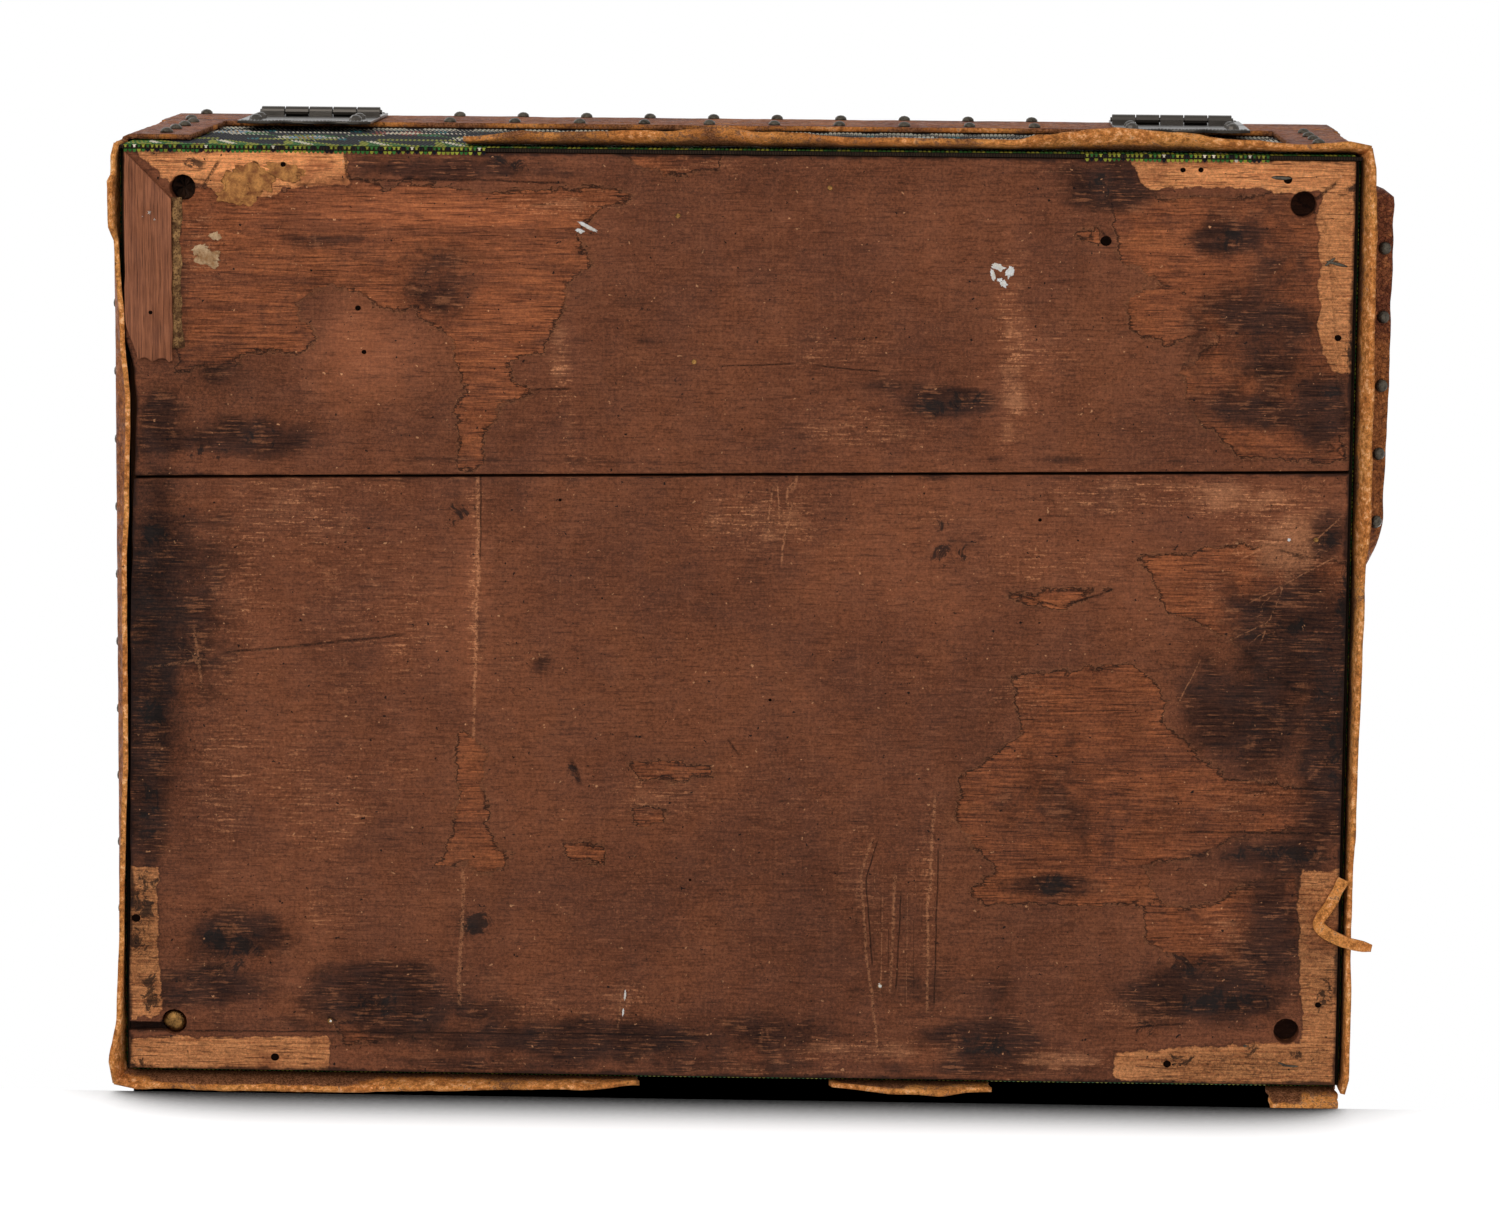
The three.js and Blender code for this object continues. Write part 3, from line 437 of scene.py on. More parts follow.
DARK_MARKS = [
    (228, 653, 400, 635, 0.9), (876, 846, 866, 880, 0.5), (866, 880, 872, 960, 0.5),
    (938, 850, 934, 1000, 0.5), (901, 900, 896, 985, 0.5), (1132, 1028, 1180, 1024, 0.7),
    (176, 1030, 700, 1036, 0.6), (640, 478, 760, 474, 0.5), (820, 366, 880, 372, 0.6),
    (724, 366, 790, 364, 0.5), (1008, 592, 1060, 607, 0.8), (1060, 607, 1112, 590, 0.7),
    (700, 152, 760, 156, 0.5), (1185, 832, 1345, 834, 0.8), (345, 181, 480, 179, 0.9),
    (480, 179, 562, 183, 0.7), (345, 150, 346, 184, 0.9), (531, 390, 566, 389, 0.9),
    (481, 478, 480, 560, 0.5), (572, 764, 578, 780, 1.6), (730, 742, 738, 754, 0.7),
    (1100, 230, 1114, 244, 0.7), (205, 182, 216, 163, 1.1), (126, 1027, 162, 1027, 2.2),
    (184, 1030, 240, 1032, 0.9), (1318, 196, 1334, 184, 1.3), (1328, 452, 1342, 446, 0.8),
    (1330, 444, 1343, 456, 0.7),
]


# Meshes


PIXELS_PER_MM = 2.7
# The size of the boards' faces, whose corners carry the fields of the marks
FIELD_STEP = 2.5 * MM
# In millimetres: the edge distance that marks every place off the underside, how far in from the right edge its
# setback is felt, and how far a scratch's fields reach past its ends and beside it
OFF_UNDERSIDE = -4
SETBACK_REACH = 30
PAST_END = 1.3
BESIDE = 9


def open_mesh(bm, name, body, slot, *materials, node=None, shade_smooth=True):
    """Makes the finished mesh an object that rides on a body, and that may replace a CAD node."""
    mesh = bpy.data.meshes.new(name)
    bm.to_mesh(mesh)
    bm.free()
    for material in materials:
        mesh.materials.append(material)
    if shade_smooth:
        mesh.polygons.foreach_set("use_smooth", [True] * len(mesh.polygons))
    piece = bpy.data.objects.new(name, mesh)
    bpy.context.scene.collection.objects.link(piece)
    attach(piece, body)
    if node:
        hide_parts(node)
    return piece


def cad_copy(node):
    """A merged copy of a CAD node's solid."""
    bm = bmesh.new()
    bm.from_mesh(NODES[node].data)
    bmesh.ops.remove_doubles(bm, verts=bm.verts, dist=2e-6)
    bmesh.ops.dissolve_limit(bm, angle_limit=math.radians(2), verts=bm.verts, edges=bm.edges)
    return bm


def soften(bm, offset, segments=2, least=35):
    """Rounds every edge that is sharper than least degrees."""
    sharp = [e for e in bm.edges if len(e.link_faces) == 2 and e.calc_face_angle() > math.radians(least)]
    bmesh.ops.bevel(bm, geom=sharp, offset=offset * MM, segments=segments, affect="EDGES", profile=0.5,
                    material=-1, clamp_overlap=True)


def cut_slices(bm, low, high, axis, count):
    """Cuts a mesh across an axis into even slices."""
    normal = Vector((0, 0, 0))
    normal[axis] = 1
    for i in range(1, count):
        bmesh.ops.bisect_plane(bm, geom=bm.verts[:] + bm.edges[:] + bm.faces[:], dist=1e-6, plane_no=normal,
                               plane_co=normal * (low[axis] + (high[axis] - low[axis]) * i / count))


def signed_distance(points, polygon):
    """Distance from each point to a polygon's outline, above zero inside it."""
    corners = np.array(polygon, dtype=float)
    best = np.full(len(points), 1e9)
    inside = np.zeros(len(points), dtype=bool)
    for start, end in zip(corners, np.roll(corners, -1, axis=0)):
        line = end - start
        reach = points - start
        share = np.clip((reach @ line) / max(line @ line, 1e-9), 0, 1)
        best = np.minimum(best, np.hypot(*(reach - share[:, None] * line).T))
        crosses = (start[1] > points[:, 1]) != (end[1] > points[:, 1])
        with np.errstate(divide="ignore", invalid="ignore"):
            limit = start[0] + (points[:, 1] - start[1]) * line[0] / line[1]
        inside ^= crosses & (points[:, 0] < limit)
    return np.where(inside, best, -best)


def inside_by(points, shapes):
    """Signed distance to the outlines of shapes that are given by pixels, above zero inside one of them."""
    return np.maximum.reduce([signed_distance(points, [on_boards(*p) for p in shape]) for shape in shapes])


def spots(points, places, summed=False):
    """Soft round patches by the pixels of their middle and half sizes, and their strength."""
    field = np.zeros(len(points))
    for px, py, half_x, half_y, strength in places:
        away = (points - np.array(on_boards(px, py))) / np.array((half_x, half_y)) * PIXELS_PER_MM
        patch = strength * np.clip(1.35 - np.hypot(*away.T), 0, 1) ** 1.2
        field = field + patch if summed else np.maximum(field, patch)
    return field


# Places where the coat has flaked off, by the pixels of their outlines
FLAKES = [
    [(176, 184), (345, 184), (420, 186), (560, 190), (640, 196), (600, 208), (584, 226), (574, 246),
     (594, 266), (566, 282), (563, 308), (551, 337), (545, 355), (523, 356), (505, 370), (517, 382),
     (532, 390), (517, 400), (503, 405), (499, 420), (484, 428), (482, 466), (462, 466), (457, 424),
     (451, 411), (466, 392), (457, 367), (451, 338), (439, 329), (418, 323), (416, 308), (375, 305),
     (369, 293), (342, 287), (318, 292), (301, 304), (303, 317), (315, 323), (319, 340), (304, 356),
     (262, 350), (232, 362), (190, 372), (172, 376)],
    [(1018, 679), (1060, 672), (1100, 669), (1127, 663), (1157, 683), (1168, 702), (1163, 722), (1180, 733),
     (1203, 757), (1232, 778), (1290, 788), (1350, 792), (1350, 836), (1282, 832), (1238, 834), (1212, 852),
     (1160, 862), (1138, 868), (1152, 886), (1158, 900), (1090, 908), (1022, 907), (974, 902), (968, 889),
     (996, 872), (984, 853), (957, 818), (966, 792), (960, 775), (988, 757), (1022, 731), (1018, 704)],
    [(1150, 908), (1215, 900), (1298, 868), (1300, 968), (1250, 956), (1190, 966), (1142, 940)],
    [(462, 730), (482, 742), (486, 800), (492, 846), (512, 852), (508, 868), (484, 870), (462, 858),
     (438, 868), (450, 842)],
    [(626, 764), (660, 757), (706, 762), (712, 776), (672, 781), (642, 779)],
    [(634, 813), (664, 811), (662, 822), (640, 823)],
    [(564, 848), (600, 845), (602, 861), (570, 863)],
    [(1120, 300), (1160, 282), (1210, 300), (1214, 330), (1168, 346), (1130, 330)],
    [(1006, 592), (1060, 590), (1110, 590), (1060, 608), (1010, 604)],
    [(610, 150), (720, 151), (716, 168), (640, 172)],
    [(1080, 232), (1100, 230), (1098, 242), (1084, 242)],
    [(330, 1020), (420, 1012), (430, 1030), (350, 1044)],
    [(150, 985), (240, 962), (170, 1005)],
    [(1110, 196), (1300, 192), (1330, 240), (1345, 460), (1240, 462), (1196, 420), (1176, 372), (1215, 340),
     (1190, 300), (1120, 262)],
    [(1140, 560), (1230, 545), (1345, 560), (1345, 700), (1290, 690), (1230, 640), (1170, 610)],
]

# Pale wood that the lost feet covered, by the pixels of the outlines
GHOSTS = [
    [(134, 150), (345, 150), (346, 182), (300, 186), (266, 198), (226, 200), (200, 184), (168, 184)],
    [(1130, 160), (1362, 160), (1362, 193), (1240, 190), (1146, 190)],
    [(1320, 160), (1362, 160), (1362, 372), (1330, 374), (1318, 330)],
    [(122, 865), (157, 868), (161, 1016), (122, 1020)],
    [(122, 1036), (329, 1037), (329, 1071), (122, 1074)],
    [(1299, 872), (1348, 868), (1348, 1062), (1301, 1060)],
    [(1112, 1050), (1344, 1040), (1344, 1090), (1112, 1080)],
]

# Dark stains, ink-like blots and worn places, by the pixels of their middle and half sizes, and their strength
STAINS = [
    (146, 640, 40, 190, 1.0), (185, 590, 60, 130, 0.55), (140, 780, 26, 110, 1.0), (150, 430, 34, 60, 0.75),
    (250, 438, 90, 24, 0.7), (200, 372, 60, 22, 0.5), (176, 310, 16, 60, 0.55), (430, 285, 44, 56, 0.4),
    (340, 240, 70, 8, 0.55), (450, 167, 130, 16, 0.6), (230, 935, 66, 30, 0.8), (200, 985, 80, 36, 0.6),
    (385, 1000, 80, 46, 0.95), (470, 1000, 60, 40, 0.5), (590, 1040, 180, 26, 0.7),
    (760, 1030, 110, 30, 0.45), (260, 1024, 110, 12, 0.5), (985, 1040, 70, 30, 0.85),
    (960, 1000, 100, 40, 0.35), (1205, 995, 100, 36, 1.0), (1270, 930, 40, 90, 0.7),
    (1280, 858, 90, 24, 0.8), (1290, 640, 70, 80, 0.95), (1330, 720, 34, 160, 1.0),
    (1250, 720, 70, 60, 0.85), (1200, 680, 40, 50, 0.5), (1310, 820, 40, 30, 0.5),
    (1130, 820, 150, 40, 0.25), (1270, 340, 80, 60, 0.55), (1225, 236, 40, 22, 0.8),
    (1110, 185, 60, 30, 0.75), (1060, 172, 70, 14, 0.5), (1320, 410, 34, 50, 0.95), (1250, 410, 90, 26, 0.7),
    (1200, 350, 26, 60, 0.4), (945, 400, 50, 20, 0.8), (900, 385, 60, 8, 0.5), (640, 300, 60, 10, 0.15),
    (1050, 885, 60, 18, 0.7), (1060, 780, 90, 70, 0.25), (1090, 820, 20, 50, 0.3), (545, 668, 16, 18, 0.3),
    (960, 550, 40, 26, 0.35), (1330, 540, 24, 30, 0.7), (660, 340, 30, 8, 0.3), (1240, 200, 70, 20, 0.3),
    (1290, 270, 40, 60, 0.35), (700, 1066, 560, 8, 0.5), (480, 620, 8, 60, 0.2), (470, 925, 14, 14, 0.5),
    (540, 480, 400, 5, 0.3), (540, 462, 400, 5, 0.3), (960, 478, 360, 5, 0.35), (1100, 460, 220, 5, 0.35),
]

INKS = [
    (150, 532, 16, 13, 1.0), (150, 712, 14, 16, 0.9), (216, 938, 20, 12, 0.9), (246, 946, 22, 14, 1.0),
    (236, 962, 10, 10, 0.7), (476, 924, 15, 14, 0.95), (463, 510, 12, 12, 0.8), (452, 522, 7, 8, 0.8),
    (940, 408, 26, 10, 0.8), (968, 396, 26, 7, 0.6), (950, 555, 20, 16, 0.5), (946, 524, 16, 8, 0.45),
    (262, 438, 20, 12, 0.6), (204, 452, 24, 7, 0.6), (1228, 236, 14, 14, 0.7), (1334, 392, 12, 10, 0.6),
    (1330, 540, 12, 10, 0.7), (573, 772, 6, 8, 0.8), (1220, 1000, 60, 14, 0.5), (380, 1006, 34, 16, 0.5),
    (1180, 965, 40, 14, 0.4), (1336, 745, 14, 60, 0.45), (1284, 855, 60, 9, 0.6), (1050, 886, 22, 12, 0.8),
    (1176, 868, 8, 6, 0.5), (1288, 628, 36, 12, 0.4), (140, 905, 14, 26, 0.7), (150, 985, 12, 20, 0.6),
    (134, 1062, 18, 8, 0.5), (1180, 1062, 34, 8, 0.45), (1252, 1052, 12, 8, 0.5), (1335, 262, 14, 6, 0.4),
    (146, 800, 12, 50, 0.5), (985, 1046, 34, 14, 0.5), (1108, 183, 26, 18, 0.45), (520, 163, 12, 10, 0.6),
    (500, 160, 10, 6, 0.5), (640, 310, 14, 5, 0.35), (1145, 1028, 14, 10, 0.5), (146, 880, 10, 12, 0.8),
    (136, 942, 10, 14, 0.8), (150, 992, 12, 22, 0.7), (131, 1066, 20, 12, 0.8), (1326, 1000, 10, 26, 0.5),
    (1308, 1056, 22, 8, 0.5), (1343, 930, 6, 30, 0.5), (1345, 620, 10, 60, 0.5), (1330, 700, 14, 60, 0.5),
    (190, 162, 14, 6, 0.6), (1355, 190, 8, 10, 0.5), (1350, 350, 8, 20, 0.6), (215, 200, 10, 8, 0.5),
]

WEAR = [
    (1014, 350, 24, 100, 0.7), (1008, 430, 10, 36, 0.6), (1040, 350, 40, 60, 0.4), (474, 600, 8, 150, 0.6),
    (474, 500, 14, 30, 0.5), (1016, 404, 20, 14, 0.9), (1290, 545, 60, 60, 0.9), (1240, 500, 110, 24, 0.75),
    (1180, 486, 160, 10, 0.7), (200, 250, 30, 50, 0.5), (560, 205, 80, 14, 0.6), (200, 600, 90, 130, 0.55),
    (300, 520, 140, 50, 0.5), (380, 620, 90, 120, 0.4), (330, 800, 140, 90, 0.4), (230, 780, 60, 110, 0.5),
    (870, 430, 100, 30, 0.5), (820, 350, 70, 24, 0.45), (760, 520, 110, 40, 0.6), (1120, 500, 130, 30, 0.5),
    (1040, 560, 120, 40, 0.4), (1020, 690, 40, 40, 0.4), (780, 790, 70, 60, 0.35), (880, 900, 60, 60, 0.35),
    (670, 790, 80, 34, 0.5), (860, 870, 14, 110, 0.5), (928, 900, 12, 110, 0.5), (300, 486, 150, 14, 0.5),
    (560, 360, 16, 60, 0.7), (570, 440, 10, 40, 0.5), (1210, 330, 60, 30, 0.4), (1180, 240, 80, 30, 0.35),
    (640, 900, 60, 50, 0.35), (350, 900, 60, 50, 0.35), (1060, 1060, 70, 16, 0.85),
    (860, 1050, 120, 16, 0.7), (520, 1064, 60, 8, 0.7), (780, 1068, 110, 6, 0.8), (640, 1050, 30, 20, 0.8),
    (620, 1000, 40, 30, 0.5), (540, 1010, 60, 30, 0.5), (1240, 930, 60, 30, 0.6), (1130, 1010, 60, 20, 0.6),
    (1320, 690, 20, 30, 0.6), (1290, 664, 16, 18, 0.6), (1330, 730, 14, 20, 0.6), (230, 1010, 60, 12, 0.4),
    (1060, 170, 60, 12, 0.5), (700, 165, 90, 10, 0.5), (940, 520, 30, 14, 0.6), (1250, 600, 80, 60, 0.4),
    (1250, 800, 80, 40, 0.4), (150, 950, 14, 50, 0.5),
]

# Where the surface is lighter or darker than its average, in shares, placed in the same way
TONES = [
    (362, 350, 70, 55, 0.6), (300, 560, 200, 110, 0.1), (420, 640, 60, 160, 0.14), (950, 560, 200, 90, 0.16),
    (160, 640, 60, 230, -0.28), (1290, 700, 90, 120, -0.16), (1050, 780, 110, 110, -0.08),
    (400, 1010, 90, 50, -0.2), (1200, 990, 110, 50, -0.2), (230, 950, 70, 50, -0.3),
    (1290, 360, 80, 100, -0.15), (200, 390, 70, 60, -0.2), (250, 165, 100, 20, 0.3),
    (1240, 178, 110, 18, 0.3), (1340, 280, 24, 90, 0.1), (880, 180, 300, 24, -0.12),
    (400, 165, 180, 28, 0.3), (420, 225, 190, 34, 0.22), (440, 290, 60, 60, 0.16), (260, 900, 90, 160, 0.05),
    (1150, 560, 90, 70, 0.12), (1240, 515, 100, 36, 0.25), (1014, 350, 40, 110, 0.24),
    (473, 590, 16, 150, 0.28), (800, 920, 260, 110, -0.16), (620, 1035, 200, 40, -0.2),
    (255, 165, 110, 24, 0.3), (1240, 178, 110, 18, 0.12), (1325, 950, 34, 100, -0.28),
    (1235, 1066, 120, 20, -0.38), (142, 930, 24, 70, -0.4), (230, 1055, 110, 16, -0.1),
    (512, 320, 60, 90, 0.28), (430, 285, 44, 60, -0.25), (430, 214, 170, 16, 0.5), (230, 300, 60, 60, 0.1),
    (150, 620, 40, 180, -0.35), (1285, 700, 80, 130, -0.15), (860, 240, 260, 60, 0.06),
    (1080, 470, 260, 30, 0.1), (700, 180, 200, 24, -0.05), (1160, 250, 120, 50, 0.1),
    (570, 360, 30, 60, 0.2), (660, 690, 100, 90, -0.04), (1040, 800, 90, 60, -0.05),
    (150, 260, 30, 100, 0.1),
]

# How far the boards' right edge stands back, in millimetres, by shares of the depth from the back
EDGE_SETBACK = [
    (0, 0), (0.19, 0), (0.245, 3.8), (0.27, 4.4), (0.345, 3.3), (0.42, 2.5), (0.53, 1.5), (0.64, 1.3),
    (0.7, 1.0), (0.97, 0), (1, 0),
]


def nearest_marks(points, marks):
    """Signed distance to the nearest mark, in shares of its width, and whether the point is beside it."""
    nearest = np.full(len(points), 1e9)
    value, beside = np.full(len(points), 9.0), np.zeros(len(points))
    for x0, y0, x1, y1, width in marks:
        start = np.array(on_boards(x0, y0))
        line = np.array(on_boards(x1, y1)) - start
        length = math.hypot(*line)
        reach = points - start
        along = (reach @ line) / length
        across = (line[0] * reach[:, 1] - line[1] * reach[:, 0]) / length
        past = np.maximum(np.maximum(-along, along - length), 0)
        away = np.hypot(across, past)
        closer = away < nearest
        nearest[closer] = away[closer]
        value[closer] = across[closer] / width
        beside[closer] = (past[closer] < PAST_END) & (np.abs(across[closer]) < BESIDE)
    return value, beside


def make_board(node, material):
    """A bottom board with worn edges, cut into small faces that carry the marks' fields."""
    bm = cad_copy(node)
    soften(bm, 0.7)
    low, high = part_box(node)
    for axis in (0, 1):
        cut_slices(bm, low, high, axis, round((high[axis] - low[axis]) / FIELD_STEP))
    mesh = open_mesh(bm, node.replace("bottom_board", "board"), "box", "board_wood", material, node=node,
                     shade_smooth=False).data
    places = np.zeros(len(mesh.vertices) * 3)
    mesh.vertices.foreach_get("co", places)
    places = places.reshape(-1, 3)
    flat = (places[:, :2] - np.array(ORIGIN[:2])) / MM
    edge = np.minimum(np.minimum(places[:, 0] - low[0], high[0] - places[:, 0]),
                      np.minimum(places[:, 1] - low[1], high[1] - places[:, 1])) / MM
    edge[places[:, 2] > low[2] + 1.5 * MM] = OFF_UNDERSIDE
    fields = {
        "flake": inside_by(flat, FLAKES),
        "ghost": inside_by(flat, GHOSTS),
        "stain": spots(flat, STAINS),
        "ink": spots(flat, INKS),
        "wear": spots(flat, WEAR),
        "tone": spots(flat, TONES, True),
        "border": edge,
    }
    for kind, marks in (("light", LIGHT_MARKS), ("dark", DARK_MARKS)):
        fields[kind + "_mark"], fields[kind + "_near"] = nearest_marks(flat, marks)
    for name, values in fields.items():
        mesh.attributes.new(name, "FLOAT", "POINT").data.foreach_set("value", values.astype(np.float32))
    for i, (x, y, z) in enumerate(places):
        x, y = x / MM, y / MM
        setback = share_at(EDGE_SETBACK, 0.5 - flat[i][1] / (2 * HALF_DEPTH)) + 0.3 * wander(y, 2, 6, 11)
        places[i, 0] -= setback * smooth(flat[i][0], HALF_WIDTH - SETBACK_REACH, HALF_WIDTH) * MM
        if z < low[2] + 1 * MM:
            dip = 0.12 * wander(x, y, 3, 34) + 0.05 * wander(x, y, 9, 6)
            worn = 0.5 * smooth(edge[i], 3.0, 0.0) * (0.5 + 0.5 * wander(x, y, 5, 7))
            places[i, 2] = z + (max(0, dip + 0.1) + worn) * MM
    mesh.vertices.foreach_set("co", places.ravel())


class DocumentBoxOperator:
    """What the box's operators share."""

    bl_options = {"REGISTER", "UNDO"}

    def execute(self, context):
        self.build()
        return {"FINISHED"}


class DOCUMENTBOX_OT_boards(DocumentBoxOperator, bpy.types.Operator):
    """Makes the two bottom boards"""

    bl_idname = "document_box.boards"
    bl_label = "Bottom boards"

    def build(self):
        material = bottom_board_finish()
        for node in ("bottom_board_front", "bottom_board_rear"):
            make_board(node, material)


# The leather bottom edging


def leather_finish(name, suede):
    """Old leather: its suede side and cut edge, or its polished side."""
    material, build = new_finish(name)
    place = build.object_place()
    plus, times, fit = build.plus, build.times, build.fit
    mottle = build.group("blotches", Vector=place, Scale=60.0)
    dirt = build.attribute("dirt")
    fuzz = build.clouds(place, 420.0, 4.0, 0.75)
    grains = build.clouds(place, 1500.0, 3.0, 0.7)
    drift = build.clouds(place, 40.0, 6.0, 0.62)
    rough_share = plus(times(drift, 0.55), times(fuzz, 0.9))
    if suede:
        pits = build.clouds(place, 330.0, 2.0, 0.5)
        crumbs = build.mix(fit(grains, 0.42, 0.6), "#4b2a1d", "#8a5a40")
        base = build.coats(
            build.mix(fit(drift, 0.35, 0.65), colours().flesh, "#eca055"), (mottle["Fine"], 0.4, "#a5622f"),
            (fuzz, 0.5, 0.36, 0.5, "#96572f"), (fuzz, 0.52, 0.64, 0.55, "#f3c492"),
            # Middling dirt darkens the suede: real dirt, and on the front strip a painted shadow from the floor
            # it stands on
            (dirt, 0.2, 0.6, 0.6, "#93551f"), (pits, 0.3, 0.24, 0.8, "#3a2014"),
            (plus(rough_share, dirt), 0.98, 1.06, 0.85, crumbs))
        height = build.clouds(place, 2300.0, 3.0, 0.7)
        roughness, shine = 0.9, 0.1
    else:
        cells = {"Vector": place, "Scale": 620.0}
        cracks = build.node("ShaderNodeTexVoronoi", cells, feature="DISTANCE_TO_EDGE").outputs[0]
        creased = fit(cracks, 0.09, 0.0)
        base = build.coats(
            build.mix(fit(drift, 0.3, 0.7), colours().grain, "#9c5a38"), (creased, 0.55, "#2a1410"),
            # Lighter worn patches, which also paint the polished side's sheen
            (build.minus(rough_share, times(dirt, 0.5)), 0.4, 0.9, 0.75, "#b06a36"),
            (fuzz, 0.52, 0.66, 0.3, "#c08050"))
        height = build.minus(times(mottle["Fine"], 0.6), creased)
        roughness, shine = fit(mottle["Middle"], 0, 1, 0.45, 0.75), 0.11
    base = build.brightened(base, plus(times(fuzz, 2.4), grains, -0.68), 0.3)
    build.surface(base_color=base, roughness=roughness, normal=build.relief(height, 0.25 * MM),
                  specular_ior_level=shine)
    return material


def leather_skins():
    """The materials of a strip, in the order that its slots take: outer side, inner side and cut edge."""
    skins = {"leather_grain": False, "leather_flesh": True, "leather_cut": True}
    return [bpy.data.materials.get(name) or leather_finish(name, suede) for name, suede in skins.items()]


def leather_sheet(name, node, body, columns, rows, place, dirt=lambda u, v: 0.0, thickness=None, turned=True,
                  slot="leather"):
    """A grid of columns by rows, bent by place(u, v), with its thickness given by a modifier."""
    bm = bmesh.new()
    bmesh.ops.create_grid(bm, x_segments=columns, y_segments=rows, size=0.5)
    layer = bm.verts.layers.float.new("dirt")
    for vertex in bm.verts:
        u, v = vertex.co.x + 0.5, vertex.co.y + 0.5
        vertex[layer] = dirt(u, v)
        vertex.co = place(u, v)
    if turned:
        bmesh.ops.reverse_faces(bm, faces=bm.faces)
    piece = open_mesh(bm, name, body, slot, *leather_skins(), node=node)
    wall = piece.modifiers.new("thickness", "SOLIDIFY")
    wall.thickness = thickness or sizes().leather_thickness
    wall.offset = 0
    wall.use_even_offset = False
    wall.material_offset = 1
    wall.material_offset_rim = 2
    return piece


# The bottom edging, in millimetres: the height where a strip starts to curl or fold, the length of its fold,
# its upper edge and how far its lip hangs below the boards
BAND_PIVOT = 11.0
BAND_FOLD = 3.0
BAND_TOP = 24.0
LIP_DROP = 2.5
FULL_CURL = math.radians(75)
FULL_LEAN = math.radians(80)
LOWER = BAND_PIVOT + LIP_DROP
# The thong: how far it lifts the left strip's lip, over how long a stretch, and its own width and thickness
THONG_RAISE = 3.4
THONG_MIDDLE = 66 - HALF_DEPTH
THONG_CLEARANCE = (17.4, 31.4)
THONG_WIDTH = 4.2
THONG_THICKNESS = 1.7
# How far a torn end tapers, in millimetres, and how dirty each side's lip is
TEAR = 26
LIP_DIRT = {"back": 0.14, "left": 0.11, "right": -0.1, "front": 0.18}

FLAT = [(0, 0), (1, 0)]


def edging(side, first, last, curl, **more):
    """A strip's side, its two ends, its curl by shares of its length, and what else it has."""
    return {"side": side, "from": first, "to": last, "curl": curl, "mitre": (False, False), "torn": (0, 0),
            "lean": FLAT, "tuck": FLAT, **more}


BANDS = {
    "bottom_edging_back": edging(
        "back", -HALF_WIDTH, 0.444 * HALF_WIDTH, mitre=(True, False), torn=(0, TEAR),
        curl=[(0, 0.36), (0.03, 0.3), (0.065, 0.22), (0.13, 0.38), (0.2, 0.66), (0.29, 0.8), (0.35, 0.56),
              (0.38, 0.3), (0.56, 0.33), (0.66, 0.55), (0.72, 0.7), (0.78, 0.55), (0.9, 0.46), (1, 0.6)]),
    "bottom_edging_left": edging(
        "left", -HALF_DEPTH, HALF_DEPTH, mitre=(True, True),
        curl=[(0, 0.1), (0.3, 0.15), (0.55, 0.3), (0.62, 0.5), (0.9, 0.46), (1, 0.36)],
        lean=[(0, 0), (0.52, 0), (0.62, 0.8), (0.8, 1), (0.955, 1), (0.978, 0), (1, 0)]),
    "bottom_edging_right": edging(
        "right", -HALF_DEPTH, HALF_DEPTH, mitre=(True, True),
        curl=[(0, 0.1), (0.025, 0.1), (0.035, 0.3), (0.08, 0.32), (0.1, 0.06), (0.6, 0.05), (0.85, 0.1),
              (0.94, 0.16), (1, 0.45)],
        tuck=[(0, 0.8), (0.1, 1.6), (0.2, 3.5), (0.27, 5.4), (0.38, 4.6), (0.45, 3.5), (0.65, 3.5),
              (0.72, 2.8), (0.83, 1.9), (0.93, 1.2), (1, 0)]),
    "bottom_edging_front": edging(
        "front", -HALF_WIDTH, -0.154 * HALF_WIDTH, mitre=(True, False), torn=(0, TEAR),
        curl=[(0, 0.42), (0.3, 0.44), (0.45, 0.42), (0.6, 0.33), (0.75, 0.2), (0.86, 0.15), (0.95, 0.3),
              (1, 0.3)]),
    "bottom_edging_scrap": edging(
        "front", 0.167 * HALF_WIDTH, 0.431 * HALF_WIDTH, torn=(TEAR, TEAR),
        curl=[(0, 0.12), (0.5, 0.16), (0.8, 0.3), (1, 0.5)]),
    "bottom_edging_tab": edging("front", HALF_WIDTH - 24.5, HALF_WIDTH + 1, curl=[(0, 0.6), (1, 0.54)]),
}


